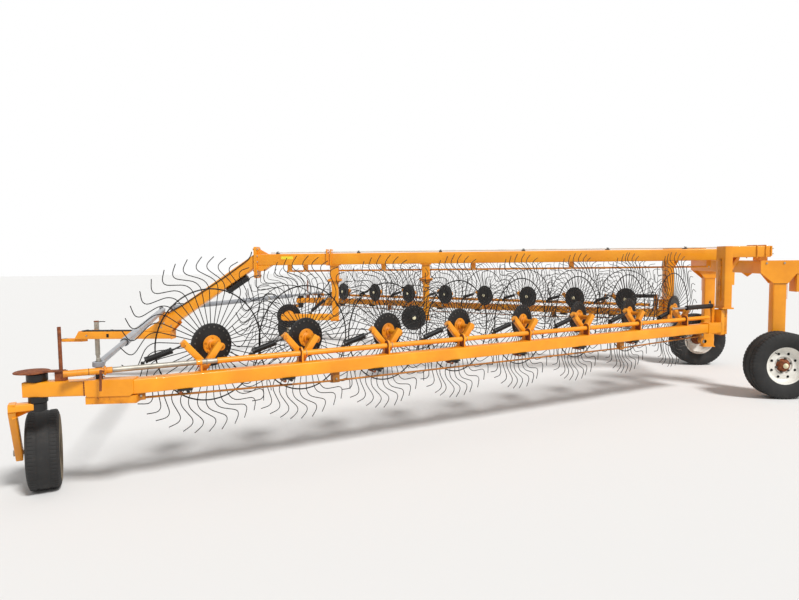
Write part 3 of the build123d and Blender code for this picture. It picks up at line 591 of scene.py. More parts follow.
def crankSet():
    # at each station two legs, a pivot on the beam's side and the wheel's axle: axle end = root + along *
    # reach, where along is turned from the arm's side by turn, and reach stops a seat gap before the hub
    c = crank
    turn = math.radians(hub["angle"] - arm["angle"])
    along = armOut * math.sin(turn) + armIn * math.cos(turn)
    apart = hub["inboard"] - c["t"]
    reach = apart / math.cos(turn) - wheel["bossOut"] - 0.0003
    parts = []
    for s in stations:
        # the rear leg runs from the pivot past the pipe, and the front leg leaves it at the pipe's height
        for d0, z0, d, z in ((-0.03, 0.905, c["front"], c["frontTop"]),
                (0.006, 0.79, -c["rear"], c["rearTop"])):
            leg = boxBeam(onArm(s + d0, c["t"], z0), onArm(s + d, c["t"], z), c["wide"], c["high"], 0.006)
            parts += of("enamel", leg)
        parts += of("enamel", weld(*[onArm(s + d, c["t"] - 0.026, 0.872) for d in (-0.012, 0.012)]))
        pivot = onArm(s, 0.142, c["pivotZ"])
        bolt = onArm(s + c["front"] - 0.012, c["t"] - 0.025, c["frontTop"] - 0.03)
        root = onArm(s - hub["back"] - apart * math.tan(turn), c["t"], hub["z"])
        parts += of("worn", bar(onArm(s, 0.051, c["pivotZ"]), pivot, c["pivotR"], 28),
            bar(root, root + along * reach, c["stub"], 24), bar(root, root + along * 0.04, 0.029, 24))
        parts += of("zinc", hexHead(pivot, armIn, 0.018, 0.012))
        parts += of("rust", hexHead(bolt, -armIn, 0.009, 0.008))
    return parts


bothSides("CrankSet", "arm", crankSet(), 0.003)

# lift pipe: enamelled along the arm, bare where it slides, with a sleeve at the front
pipe = dict(r=0.022, t=0.024, z=0.915, rear=0.23, bareFrom=5.86, bareTo=6.56, front=6.855, lever=0.87,
    band=(5.968, 6.01), collar=(6.598, 6.612), washer=(6.7, 6.706))


def liftPipe():
    # the pipe, its rings, the lever and the lug for the lift ram, and a ring behind each station
    p = pipe
    at = lambda s, z=p["z"]: onArm(s, p["t"], z)
    top = p["lever"] + 0.01
    lug = [at(*q) for q in arch(0.905, 0.945, 0.034, 0.04) + [(0.862, 0.92), (0.948, 0.92)]]
    parts = of("enamel", bar(at(p["rear"]), at(p["bareFrom"]), p["r"], 24),
        bar(*map(at, p["band"]), 0.0225, 24))
    parts += of("zinc", bar(at(p["bareFrom"]), at(p["bareTo"]), p["r"] * 0.86, 24),
        *[bar(at(s - 0.052), at(s - 0.046), 0.026, 24) for s in stations])
    parts += of("worn", bar(at(p["bareTo"]), at(p["front"]), p["r"], 24),
        bar(*map(at, p["collar"]), 0.032, 24),
        block((p["lever"], p["lever"] + 0.02), (0.014, 0.034), (p["z"], 1.065), onArm),
        prism(lug, armIn * 0.012))
    return parts + of("rust", bar(*map(at, p["washer"]), 0.0235, 24),
        bar(onArm(top, 0.004, 1.045), onArm(top, 0.044, 1.045), 0.009))


bothSides("LiftPipe", "arm", liftPipe(), 0.002)

# coil springs beside the pipe, each with its lever and its link to a crank
spring = dict(t=0.07, front=(0.36, 0.954), rear=(0.184, 1.009), r=0.0195, wire=0.0045, turns=20, core=0.0135,
    cup=0.024, linkZ=1.044)


def springSet():
    # at each station a coil round its core between two cups, the lever at the pipe, the link and its lug
    g = spring
    parts = []
    for s in stations:
        a, b = (onArm(s + d, g["t"], z) for d, z in (g["front"], g["rear"]))
        run = unit(b - a)
        foot = s + crank["front"]
        parts += of("black", coil(a + run * 0.012, b - run * 0.012, g["r"], g["wire"], g["turns"]),
            bar(a, b, g["core"], 12), bar(a + run * 0.012, a - run * 0.004, g["cup"], 20),
            bar(b - run * 0.012, b + run * 0.004, g["cup"], 20),
            bar(b, onArm(foot, g["t"], g["linkZ"]), 0.006, 10),
            block((s + 0.368, s + 0.392), (0.0463, 0.078), (0.905, 0.947), onArm))
        parts += of("worn", block((foot - 0.014, foot + 0.014), (0.061, 0.0777), (1.028, 1.06), onArm))
    return parts


bothSides("SpringSet", "arm", springSet(), 0.0015)

# lift ram over the pipe, with its hose
liftRam = dict(t=0.024, z=1.045, base=0.17, gland=0.62, eye=0.8697, r=0.027, rod=0.012, port=0.21)


def liftRamParts():
    # barrel with its gland, rod, eye, port and hose: place = the ram's middle line + (s, t, z) on the arm
    r = liftRam
    at = lambda s, t=0.0, z=0.0: onArm(s, r["t"] + t, r["z"] + z)
    route = [at(r["port"], 0, 0.034), at(r["port"], 0, 0.055), at(0.15, 0.03, 0.06), onArm(0.14, 0.045, 0.88)]
    parts = of("black", bar(at(r["base"]), at(r["gland"]), r["r"], 32),
        bar(at(r["gland"] - 0.03), at(r["gland"]), r["r"] + 0.001, 32))
    parts += of("chrome", bar(at(r["gland"]), at(r["eye"]), r["rod"], 24))
    parts += of("zinc", bar(at(r["eye"] - 0.03), at(r["eye"]), 0.018, 20),
        bar(at(r["port"], 0, 0.02), at(r["port"], 0, 0.035), 0.008, 12))
    return parts + of("hose", bent(route, 0.006, 0.02, 10, ey))


bothSides("LiftRam", "arm", liftRamParts(), 0.002)

# tie rod under the arm, on four blocks
truss = dict(r=0.008, line=[(6.39, 0.706), (4.94, 0.672), (1.7, 0.672), (0.4, 0.706)])
# tie rod and blocks in the darkened enamel: painted shade under the arm, with rust spots
trussParts = of("shadeAndRust", sweep([onArm(s, 0, z) for s, z in truss["line"]], circle(truss["r"], 12), ez))
for s, z in truss["line"]:
    trussParts += of("shadeAndRust", block((s - 0.03, s + 0.03), (-0.025, 0.025), (z - 0.012, 0.7447), onArm))
    trussParts += of("zinc", hexHead(onArm(s, -0.025, z + 0.02), -armIn, 0.009, 0.007))
bothSides("ArmTruss", "arm", trussParts, 0.003)
print("arms made")

# castor: the leg stands on one side of the tyre
castor = dict(r=0.285, w=0.215, rim=0.152, trail=0.32, heading=120.0, pin=0.024, axle=0.016, gap=0.028,
    top=0.7047, cap=0.8803)
castorTurn = math.radians(castor["heading"])
castorX = np.array([math.cos(castorTurn), math.sin(castorTurn), 0.0])
castorY = np.array([-castorX[1], castorX[0], 0.0])
kingpin = onNose(arm["kingpin"], 0, 0)


def onCastor(x, y, z):
    # place = kingpin + trailing * x + along the axle * y + up * z
    return kingpin + castorX * x + castorY * y + ez * z


def castorYoke():
    # kingpin with its lid, arm, leg and axle
    c = castor
    side, top, cap, lid = c["w"] / 2 + c["gap"], c["top"], c["cap"], c["cap"] + 0.014
    out, leg, low = side + 0.045, side + 0.02, c["r"] - 0.03
    post = lambda z: onCastor(0, 0, z)
    axle = lambda y: onCastor(c["trail"], y, c["r"])
    shoulder = [(-0.052, side - 0.005), (0.052, side - 0.005), (0.043, side + 0.039), (-0.043, side + 0.039)]
    gusset = [(-0.01, leg, top - 0.1), (0.03, side - 0.1, top - 0.06), (0.03, leg, top - 0.06)]
    parts = of("zinc", bar(post(top - 0.02), post(cap), c["pin"], 28),
        hexHead(post(lid), ez, 0.022, 0.006),
        bar(axle(out), axle(0.02 - c["w"] / 2), c["axle"], 20),
        hexHead(axle(out), castorY, 0.024, 0.014))
    parts += of("rust", bar(post(cap), post(lid), 0.05, 32))
    parts += of("black", bar(post(top - 0.06), post(top), 0.052, 36))
    return parts + of("enamel",
        boxBeam(onCastor(0, -0.02, top - 0.024), onCastor(0, side + 0.04, top - 0.024), 0.09, 0.048),
        prism([onCastor(x, y, top) for x, y in shoulder], (0, 0, 0.012)),
        prism([onCastor(*p) for p in gusset], castorX * 0.012),
        boxBeam(onCastor(0, leg, top - 0.03), onCastor(c["trail"], leg, low), 0.08, 0.046, 0.006, castorY),
        bar(axle(out), axle(side - 0.002), 0.04, 28))


bothSides("CastorYoke", "castor", castorYoke(), 0.003)


def tread(r, w, rim, lugs, depth, shoulder):
    # tyre surface: the section is carried round the axle, and its radius sinks between the lugs by
    # depth * groove(angle, y); grooves slant to each side from a plain rib in the middle
    y = np.concatenate([[-0.44, -0.5], np.linspace(-0.47, 0.47, 29), [0.5, 0.44]]) * w
    t = np.abs(y) / (w / 2)
    radius = np.where(t < 0.8, r, r - shoulder * ((t - 0.8) / 0.2) ** 2)
    radius[[0, -1]] = rim + 0.012
    radius[[1, -2]] = rim * 0.42 + r * 0.58
    count = lugs * 8
    a = np.linspace(0, 2 * np.pi, count, endpoint=False)[:, None]
    phase = (a * lugs / (2 * np.pi) + 0.35 * t * np.sign(y)) % 1.0
    groove = np.clip(1 - np.abs(phase - 0.5) * 6, 0, 1) * ((t > 0.42) & (t < 1.001))
    keep = np.ones_like(t)
    keep[[0, 1, -1, -2]] = 0
    surface = radius - depth * np.maximum(groove, np.abs(t - 0.36) < 0.05) * keep
    column = np.ones((count, 1))
    radii = np.hstack([surface, column * [rim, rim]])
    pts = polar(radii, a, np.hstack([column * y, column * [0.4 * w, -0.4 * w]]))
    return pts.reshape(-1, 3), gridFaces(count, radii.shape[1], True, True)


def rimShape(r, half, disc, hole):
    # pressed rim: a dished disc as (share of r, metres from the disc), rolled flanges and a drop centre as
    # (share of r, share of half)
    face = [(0.42, -0.012), (0.48, -0.024), (0.76, -0.018), (0.84, -0.03)]
    barrel = [(0.87, -0.62), (0.93, -0.78), (0.95, -0.96), (1.0, -1.01), (1.012, -0.95), (0.985, -0.88),
        (0.955, -0.7), (0.9, -0.5), (0.9, 0.5), (0.955, 0.7), (0.985, 0.88), (1.012, 0.95), (1.0, 1.01),
        (0.95, 0.96), (0.87, 0.5)]
    back = [(0.84, 0.002), (0.76, -0.004), (0.48, -0.01), (0.42, 0.002)]
    return lathe([(hole, disc - 0.012)] + [(r * k, disc + d) for k, d in face]
        + [(r * k, half * d) for k, d in barrel] + [(r * k, disc + d) for k, d in back]
        + [(hole, disc + 0.002)], 64)


def onAxle(name, *shapes):
    # parts worked out about the castor's axle
    centre = onCastor(castor["trail"], 0, castor["r"])
    return of(name, *[moved(s, centre, castorX, castorY) for s in shapes])


wall = [(castor["rim"] + 0.012, 0.0955), (0.19, 0.1056), (0.208, 0.1086), (0.236, 0.1076), (0.245, 0.1062),
    (0.236, 0.104), (0.208, 0.105), (0.19, 0.102)]
tyre = onAxle("rubber", tread(castor["r"], castor["w"], castor["rim"], 64, 0.004, 0.045))
tyre += onAxle("dust", *[lathe([(r, y * d) for r, d in wall], 64) for y in (-1, 1)])
bothSides("CastorTyre", "castor_wheel", tyre)
# the dish faces away from the leg
hubShape = lathe([(0.017, -0.06), (0.04, -0.06), (0.044, -0.03), (0.05, -0.02), (0.05, 0.02), (0.044, 0.06),
    (0.017, 0.06)], 32)
nuts = [hexHead(polar(0.062, a, -0.03), -ey, 0.01, 0.012) for a in np.arange(4) * np.pi / 2]
bothSides("CastorRim", "castor_wheel", onAxle("rimWhite", rimShape(castor["rim"], 0.07, -0.02, 0.03))
    + onAxle("rust", hubShape) + onAxle("zinc", *nuts))
print("castors made")

# rear wheels, with the dished side outboard
rear = dict(x=0.47, track=1.1, r=0.38, w=0.25, rim=0.214, half=0.095, disc=-0.022, ventR=0.14, studR=0.08,
    axleEnd=-1.16)
rearAxle = machine(rear["x"], -rear["track"], rear["r"])
bothSides("RearTyre", "rear_wheel", of("rubber",
    moved(tread(rear["r"], rear["w"], rear["rim"], 56, 0.008, 0.032), rearAxle)))


def rearRim():
    # rim with eight vents drawn as dark discs of painted shade, rusty hub with a cream cap, six studs and the
    # valve
    w = rear
    # each vent is a dark disc set in the rim: painted shade for the opening
    vents = [bar(polar(w["ventR"], a, w["disc"] - 0.012), polar(w["ventR"], a, w["disc"] - 0.0235), 0.015, 20,
        0.05) for a in (np.arange(8) + 0.5) * np.pi / 4]
    hubShape = lathe([(0.031, -0.03), (0.03, -0.088), (0.04, -0.09), (0.056, -0.074), (0.062, -0.04),
        (0.078, -0.036), (0.078, 0.02), (0.06, 0.078), (0.031, 0.078)], 40)
    cap = lathe([(0.001, -0.085), (0.028, -0.085), (0.03, -0.096), (0.02, -0.108), (0.008, -0.112),
        (0.001, -0.112)], 28)
    studs = []
    for a in (np.arange(6) + 0.25) * np.pi / 3:
        foot = polar(w["studR"], a, -0.034)
        studs += [hexHead(foot, -ey, 0.013, 0.018), bar(foot, polar(w["studR"], a, -0.062), 0.007, 10)]
    valve = bar(polar(0.185, 2.2, -0.072), polar(0.172, 2.2, -0.098), 0.005, 8)
    parts = (of("rimWhite", rimShape(w["rim"], w["half"], w["disc"], 0.03)) + of("hole", *vents)
        + of("rust", hubShape) + of("cream", cap) + of("heads", *studs) + of("hose", valve))
    return [(f, moved(p, rearAxle)) for f, p in parts]


bothSides("RearRim", "rear_wheel", rearRim())
print("rear wheels made")

# rear frame: cross beam, tail beams with their gussets, wheel legs and hinge columns
post = dict(top=1.572, box=0.152, crossX=0.295, legX=0.452, inner=0.83, outer=0.932, tailX=0.71, rearX=0.85,
    tailZ=1.205, beamEnd=0.447, boltX=(0.36, 0.56), ribs=(-0.5, 0.0, 0.5))
boxLow = post["top"] - post["box"]


def wheelLeg():
    # side beam with its tail, leg, gusset plates with their welds, foot plate and axle
    p, low, out = post, boxLow, post["outer"]
    leg0, leg1 = p["legX"], p["legX"] + p["box"]
    mid, tail = (leg0 + leg1) / 2, (p["tailX"] + p["rearX"]) / 2
    y, beamZ = p["box"] / 2 - out, low + p["box"] / 2
    legY, inner = -(p["inner"] + out) / 2, -p["inner"]
    gusset = [(p["crossX"], p["top"]), (p["rearX"], p["top"]), (p["rearX"], low), (leg1 + 0.1, low),
        (leg1 + 0.005, low - 0.115), (leg0 - 0.005, low - 0.115), (p["crossX"], low + 0.01)]
    parts = of("enamel", boxBeam((p["beamEnd"], y, beamZ), (p["rearX"], y, beamZ), p["box"], p["box"], 0.01),
        boxBeam((tail, y, p["tailZ"]), (tail, y, low + 0.02), p["box"], p["rearX"] - p["tailX"], 0.01, ex),
        boxBeam((mid, legY, 0.31), (mid, legY, low + 0.01), 0.102, p["box"], 0.012, ex),
        plate(gusset, -out - 0.006, 0.012),
        plate(gusset[3:6] + [(leg0 - 0.1, low)], inner + 0.004, 0.01),
        block((mid - 0.085, mid + 0.085), (-out - 0.012, inner + 0.01), (0.3, 0.312)),
        *[weld((x, -out, low - 0.115), (x, -out, low - 0.3), 0.003) for x in (leg0 - 0.002, leg1 + 0.002)])
    seam = [(x, -out - 0.002, low - 0.117) for x in (leg0 - 0.003, leg1 + 0.003)]
    parts += of("rust", weld(*seam, 0.005))
    axle = lambda y: (rear["x"], y, rear["r"])
    parts += of("worn", bar(axle(inner - 0.01), axle(-out - 0.012), 0.055, 32))
    return parts + of("zinc", bar(axle(inner), axle(rear["axleEnd"]), 0.029, 24),
        *[hexHead((x, -out - 0.012, p["top"] - 0.03), -ey, 0.012, 0.009) for x in p["boltX"]])


column = dict(x=(-0.117, -0.027), y=-0.842, half=0.11, low=1.01, top=1.745, stubLow=1.612, stubEnd=0.402,
    pinX=-0.08, pinR=0.025, pinLow=0.688, boltY=(-0.09, 0.09), boltZ=(1.652, 1.712), straps=(0.24, 0.34))


def hingeColumn():
    # column with the stub that joins it to the cross beam, brace, end plate, straps and hinge pin
    c, y, half = column, column["y"], column["half"]
    low, top, end = c["low"], c["top"], c["stubEnd"]
    x0, x1 = c["x"]
    mid, stubZ, edgeY = (x0 + x1) / 2, (c["stubLow"] + top) / 2, half + 0.004
    face = [(-0.12, 1.625), (0.12, 1.625), (0.12, 1.742), (-0.12, 1.742)]
    parts = of("enamel", boxBeam((mid, y, low), (mid, y, top), 2 * half, x1 - x0, 0.008, ex),
        boxBeam((x1 - 0.006, y, stubZ), (0.4, y, stubZ), 2 * half - 0.0012, top - c["stubLow"] - 0.0012),
        block((0.295, 0.38), (y - half + 0.03, y + half - 0.03), (1.572, c["stubLow"])),
        boxBeam((x1 - 0.005, y, 1.44), (x1 + 0.1, y, 1.617), 0.04, 0.08, 0.006, ey),
        prism([(end, y + d, z) for d, z in face], (0.014, 0, 0)),
        weld((x1, y - half, 1.61), (x1, y + half, 1.61)),
        block((-0.137, -0.007), (y - half - 0.01, y + half + 0.01), (low, low + 0.018)))
    for d in c["boltY"]:
        for z in c["boltZ"]:
            parts += of("zinc", hexHead((end + 0.007, y + d, z), ex, 0.013, 0.012),
                bar((end + 0.007, y + d, z), (end + 0.036, y + d, z), 0.007, 10))
    for x in c["straps"]:
        near, far = y - edgeY, y + edgeY
        strap = [(x, near, 1.6), (x, near, top + 0.004), (x, far, top + 0.004), (x, far, 1.6)]
        parts += of("worn", bent(strap, 0.007, 0.012, 10, ex))
    pin = lambda z: (c["pinX"], y, z)
    parts += of("zinc", bar(pin(low + 0.005), pin(c["pinLow"]), c["pinR"], 28))
    parts += of("rust", bar(pin(c["pinLow"]), pin(0.7077), 0.037, 28))
    return parts + of("worn", block((x0 - 0.012, x0), (y - 0.03, y + 0.03), (1.1, 1.6)))


for side, flip in (("left", lambda p: p), ("right", mirrored)):
    framePiece(side + "WheelLeg", [(f, flip(p)) for f, p in wheelLeg()])
    framePiece(side + "HingeColumn", [(f, flip(p)) for f, p in hingeColumn()])
box, x, out, z = post["box"], post["crossX"] + post["box"] / 2, post["outer"], boxLow + post["box"] / 2
cross = [boxBeam((x, -out, z), (x, out, z), box, box, 0.01)]
cross += [plate([(x - 0.07, boxLow), (x + 0.07, boxLow), (x, boxLow - 0.05)], y, 0.01)
    for y in post["ribs"]]
framePiece("crossBeam", of("enamel", *cross))

# overhead beam with its joint, truss rod and pipes
beam = dict(front=-5.9, low=1.572, box=0.152, plate=0.02, wide=0.205, plateZ=(1.4, 1.825),
    strapX=(-4.936, -4.884), strapZ=(1.562, 1.78), boltY=(-0.08, 0.08),
    boltZ=(1.43, 1.5, 1.62, 1.7, 1.79))


def overhead():
    # beam, the strap's two plates, the seat on the cross beam and the film on its side
    b = beam
    mid = b["low"] + b["box"] / 2
    return (of("enamel",
        boxBeam((b["front"] + b["plate"], 0, mid), (post["beamEnd"], 0, mid), b["box"], b["box"], 0.012),
        *[block((x, x + 0.014), (-0.095, 0.095), b["strapZ"]) for x in b["strapX"]],
        block((0.3, 0.44), (-0.16, 0.16), (b["low"], b["low"] + 0.014)))
        + of("film", block((-5.55, -5.39), (-0.0772, -0.0755), (1.652, 1.69))))


def beamJoint():
    # two bolted plates with cut corners, and the webs behind them under and over the beam
    b, w, (z0, z1), c = beam, beam["wide"] / 2, beam["plateZ"], 0.02
    face = [(-w, z0 + c), (c - w, z0), (w - c, z0), (w, z0 + c), (w, z1 - c), (w - c, z1), (c - w, z1),
        (-w, z1 - c)]
    x = b["front"] + b["plate"]
    web = [(x - 0.005, 1.572), (x + 0.18, 1.572), (x + 0.07, 1.496), (x - 0.005, 1.496)]
    gusset = [(x, 1.726), (x + 0.13, 1.726), (x, 1.8)]
    sole = [(x + 0.07, -0.075, 1.498), (x + 0.178, -0.075, 1.57), (x + 0.178, 0.075, 1.57),
        (x + 0.07, 0.075, 1.498)]
    parts = of("enamel",
        *[prism([(b["front"] + d, y, z) for y, z in face], (0.019, 0, 0)) for d in (-0.0105, 0.0105)],
        *[plate(web, y, 0.012) for y in (-0.069, 0.069)],
        prism(sole, (0.005, 0, -0.007)),
        *[plate(gusset, y, 0.012) for y in (-0.05, 0.05)])
    for y in b["boltY"]:
        for z in b["boltZ"]:
            parts += of("rust", hexHead((b["front"] - 0.02, y, z), (-1, 0, 0), 0.014, 0.011))
            parts += of("zinc", hexHead((x, y, z), ex, 0.014, 0.011))
    return parts


framePiece("mainBeam", overhead())
framePiece("beamJoint", beamJoint())
rod = dict(x=[-5.23, -4.17, -2.96, -1.66, -5.45, 0.118], ends=(-5.49, 0.158), z=1.49, r=0.0118)
rodParts = of("worn", bar((rod["ends"][0], 0, rod["z"]), (rod["ends"][1], 0, rod["z"]), rod["r"], 16))
for x in rod["x"]:
    rodParts += of("enamel", block((x - 0.03, x + 0.03), (-0.02, 0.02), (rod["z"] - 0.012, beam["low"])))
    rodParts += of("zinc", hexHead((x, -0.02, rod["z"]), -ey, 0.01, 0.008))
framePiece("trussRod", rodParts)
lines = dict(r=0.01, y=(-0.045, -0.015), front=-5.69, rear=0.25, z=1.7423,
    clips=(-5.6, -4.5, -3.4, -2.3, -1.2, -0.2))
lineParts = of("white", *[bar((lines["front"], y, lines["z"]), (lines["rear"], y, lines["z"]), lines["r"], 14)
    for y in lines["y"]])
for x in lines["clips"]:
    lineParts += of("black", block((x - 0.02, x + 0.02), (-0.065, 0.005), (1.7243, 1.7336)),
        block((x - 0.012, x + 0.012), (-0.065, 0.005), (1.745, 1.754)))
    lineParts += of("zinc", hexHead((x, -0.03, 1.754), ez, 0.006, 0.005))
framePiece("hydraulicPipes", lineParts, 0.001)

# gooseneck with the opening rams' posts, and the drawbar
neck = dict(low=(-7.23, 0, 0.766), high=(-5.86, 0, 1.6728), box=0.152, foot=0.683, ramX=-7.177, ramY=0.15,
    bolts=((-7.24, 0.74), (-7.2, 0.8), (-7.1, 0.76)))


def gooseneck():
    # slanted beam on its foot, with the plates of the foot, the rams' posts and a hose
    n = neck
    start, end = np.array(n["low"]), np.array(n["high"]) - (0.06, 0, 0.0397)
    run = unit(end - start)
    pts, faces = boxBeam(start, end, n["box"], n["box"], 0.01)
    # the ends are cut upright at the joint plate and level at the foot
    half = len(pts) // 2
    pts[half:] += run * ((end[0] - pts[half:, 0]) / run[0])[:, None]
    pts[:half] += run * ((n["foot"] - pts[:half, 2]) / run[2])[:, None]
    cheek = [(-7.27, 0.683), (-7.105, 0.683), (-7.0, 0.79), (-7.06, 0.86), (-7.16, 0.93), (-7.27, 0.93)]
    parts = of("enamel", (pts, faces), block((-7.265, -7.115), (-0.06, 0.06), (0.681, 0.94)),
        *[plate(cheek, y, 0.01) for y in (-0.067, 0.067)])
    parts += of("worn", block((n["ramX"] - 0.045, n["ramX"] + 0.045), (-0.19, 0.19), (0.917, 0.94)))
    for y in (-n["ramY"], n["ramY"]):
        pin = lambda z: (n["ramX"], y, z)
        parts += of("zinc", bar(pin(0.935), pin(1.019), 0.0138, 20), hexHead(pin(1.008), ez, 0.02, 0.01))
        parts += of("rust", bar(pin(0.935), pin(0.9627), 0.022, 24))
    for y in (-0.067, 0.067):
        parts += of("zinc", *[hexHead((x, y * 1.07, z), (0, y, 0), 0.012, 0.009)
            for x, z in n["bolts"]])
    route = [(-7.2, -0.085, 0.9), (-6.9, -0.086, 1.06), (-6.3, -0.086, 1.44), (-5.96, -0.086, 1.68),
        (-5.95, -0.086, 1.74)]
    return parts + of("hose", bent(route, 0.007, 0.08, 10, ey))


bow = dict(front=-8.47, rear=-7.105, z=0.63, wide=0.152, high=0.102, hole=-8.655, holeR=0.014, nose=0.05,
    tongue=0.325, tongueZ=0.56, half=0.019, bolts=(-7.6, -8.3), socket=(-8.02, -7.985),
    hoses=(-0.03, 0.0, 0.03), clips=(-7.6, -8.0, -8.35))


def drawbar():
    # beam with a slanted front, tongue with the pin hole, end plates, a socket drawn as a thin dark sheet of
    # painted shade, and hoses in clips
    b, z, half = bow, bow["tongueZ"], bow["half"]
    pts, faces = boxBeam((b["front"], 0, b["z"]), (b["rear"], 0, b["z"]), b["wide"], b["high"], 0.01)
    count = len(pts) // 2
    pts[:count, 0] += (pts[:count, 2] - b["z"] + b["high"] / 2) * 0.6
    # from the hole's rim to the tongue's outline: a round nose drawn out by a tenth, then straight sides
    a = np.linspace(0, 2 * np.pi, 33)[:-1]
    c, s = np.cos(a), np.sin(a)
    behind = np.minimum(b["nose"] / np.maximum(abs(s), 1e-6), b["tongue"] / np.maximum(c, 1e-6))
    reach = np.where(c < 0, b["nose"], behind)
    outer = (b["hole"] + reach * c * np.where(c < 0, 1.1, 1.0), reach * s)
    inner = (b["hole"] + b["holeR"] * c, b["holeR"] * s)
    loops = [np.column_stack([*ring, np.full(32, z + d)])
        for ring, d in ((outer, -half), (outer, half), (inner, half), (inner, -half))]
    parts = of("enamel", (pts, faces)) + of("worn", (np.concatenate(loops), gridFaces(4, 32, True, True)),
        block((-7.112, -7.102), (-0.08, 0.08), (0.572, 0.684)))
    high = half + 0.004
    collar = [(0.0145, z - high), (0.03, z - high), (0.03, z + high), (0.0145, z + high)]
    parts += of("zinc", upright(collar, (b["hole"], 0, 0), 32),
        *[hexHead((x, -0.076, b["z"]), -ey, 0.012, 0.009) for x in b["bolts"]])
    face = [(-8.476, -0.078, 0.574), (-8.476, 0.078, 0.574), (-8.408, 0.078, 0.688), (-8.408, -0.078, 0.688)]
    parts += of("enamel", prism(face, (0.008, 0, -0.005)))
    # the socket is a thin dark sheet on the beam's side: painted shade for its opening
    parts += of("hole", block(b["socket"], (-0.0775, -0.0755), (0.602, 0.652)))
    for y in b["hoses"]:
        route = [(-7.3, y, 0.69), (-7.6, y, 0.6895), (-8.0, y * 1.2, 0.6895), (-8.39, y, 0.6895)]
        parts += of("hose", bent(route, 0.0075, 0.08, 10))
    for x in b["clips"]:
        parts += of("black", block((x - 0.015, x + 0.015), (-0.05, 0.05), (0.681, 0.7)))
    return parts


framePiece("gooseneck", gooseneck())
framePiece("drawbar", drawbar())

# centre mounts
mount = dict(box=0.086, socket=0.11, low=0.816, joint=1.35, turn=12.0, half=0.075, arm=0.098,
    boltX=(-0.072, 0.072), boltY=(-0.055, 0.055), footBolts=(-0.17, -0.07))


def centreMount(w):
    # a post under the beam with its bolted joint, a foot and the wheel's axle
    x, m, joint = w["post"], mount, mount["joint"]
    turn, d, pad = math.radians(m["turn"]), math.copysign(1, w["y"]), (-m["half"], m["half"])
    outDir = np.array([-math.sin(turn), math.cos(turn), 0]) * d
    hubAt = np.array([w["x"], w["y"], centreZ])
    root = hubAt - outDir * (abs(w["y"]) / math.cos(turn))
    gussets = [plate([(x + k * 0.043, joint), (x + k * 0.07, joint), (x + k * 0.043, joint - 0.04)], 0, 0.012)
        for k in (-1, 1)]
    parts = of("enamel", boxBeam((x, 0, m["low"]), (x, 0, joint + 0.024), m["box"], m["box"], 0.007, ex),
        boxBeam((x, 0, joint), (x, 0, beam["low"]), m["socket"], m["socket"], 0.008, ex),
        block((x - 0.09, x + 0.09), pad, (joint + 0.012, joint + 0.024)),
        block((x - 0.09, x + 0.09), pad, (joint, joint + 0.011)),
        block((x - m["half"], x + m["half"]), pad, (1.56, beam["low"])), *gussets,
        boxBeam((w["x"] - 0.05, 0, centreZ), (x, 0, centreZ), m["arm"], m["box"]),
        bar(root + outDir * 0.03, root + outDir * 0.085, 0.04, 28))
    for dx in m["boltX"]:
        for dy in m["boltY"]:
            parts += of("zinc", hexHead((x + dx, dy, joint + 0.024), ez, 0.012, 0.01))
            parts += of("rust", hexHead((x + dx, dy, joint), (0, 0, -1), 0.012, 0.01))
    parts += of("worn", bar(root, hubAt - outDir * 0.0423, crank["stub"], 24),
        block((x - 0.06, x + 0.06), (-0.056, 0.056), (m["low"] - 0.01, m["low"])))
    return parts + of("rust",
        *[hexHead((x + dx, -0.049, centreZ), -ey, 0.012, 0.01) for dx in m["footBolts"]])


for name, w in centreWheels.items():
    framePiece(name + "CentreMount", centreMount(w))

# kicker ram at the front centre mount, and the black tube under the gooseneck
kicker = dict(foot=(-5.18, 0, 0.93), eye=(-4.915, 0, 1.15), r=0.0218, rod=0.011)
tank = dict(x=(-6.385, -6.1), r=0.0445, below=0.076 + 0.0003 + 0.045)


def kickerHydraulics():
    # ram from its foot to its eye, with brackets, cross pins and hose; the tube follows the gooseneck's
    # slant, moved square to it by the tank's distance below
    foot, eye = np.array(kicker["foot"]), np.array(kicker["eye"])
    run = unit(eye - foot)
    cross = lambda x, z: bar((x, -0.02, z), (x, 0.02, z), 0.01, 16)
    route = [(-5.12, 0.022, 1.00), (-5.1, 0.05, 1.1), (-4.95, 0.06, 1.3), (-4.9, 0.05, 1.37)]
    parts = of("black", bar(foot + run * 0.02, eye - run * 0.09, kicker["r"], 28),
        block((-5.2, -5.16), (-0.01, 0.01), (0.9043, 0.94)),
        block((-4.92, -4.8893), (-0.01, 0.01), (1.125, 1.175)))
    parts += of("chrome", bar(eye - run * 0.09, eye - run * 0.01, kicker["rod"], 16))
    parts += of("zinc", cross(-5.18, 0.93), cross(-4.912, 1.15))
    parts += of("hose", bent(route, 0.006, 0.05, 8, ey))
    low, high = np.array(neck["low"]), np.array(neck["high"])
    run = unit(high - low)
    down = np.array([run[2], 0, -run[0]]) * tank["below"]
    a, b = (low + run * ((x - low[0]) / run[0]) + down for x in tank["x"])
    bands = [a + (b - a) * t for t in (0.12, 0.88)]
    parts += of("black", bar(a, b, tank["r"], 40, 0.06),
        *[bar(at - run * 0.012, at + run * 0.012, tank["r"] + 0.001, 40) for at in bands])
    return parts + of("zinc", bar(b - run * 0.01, b + run * 0.01, 0.018, 20))


framePiece("kickerHydraulics", kickerHydraulics(), 0.001)
print("frame made")

# opening rams: grey barrels with a black collar and a short hose
ram = dict(baseZ=0.985, eyeZ=0.952, barrel=3.15, r=0.038, rod=0.0235, inside=2.9, band=(2.35, 2.4))
ramBase = machine(neck["ramX"], -neck["ramY"], ram["baseZ"])
ramEye = onArm(arm["eyeS"], arm["eyeT"], ram["eyeZ"])
ramRun = unit(ramEye - ramBase)
ramSide = np.cross(ramRun, ez)
ramLift = np.cross(ramSide, ramRun)


def atRam(d, side=0.0, lift=0.0):
    # place = base + along the ram * d + sideways * side + upwards * lift
    return ramBase + ramRun * d + ramSide * side + ramLift * lift


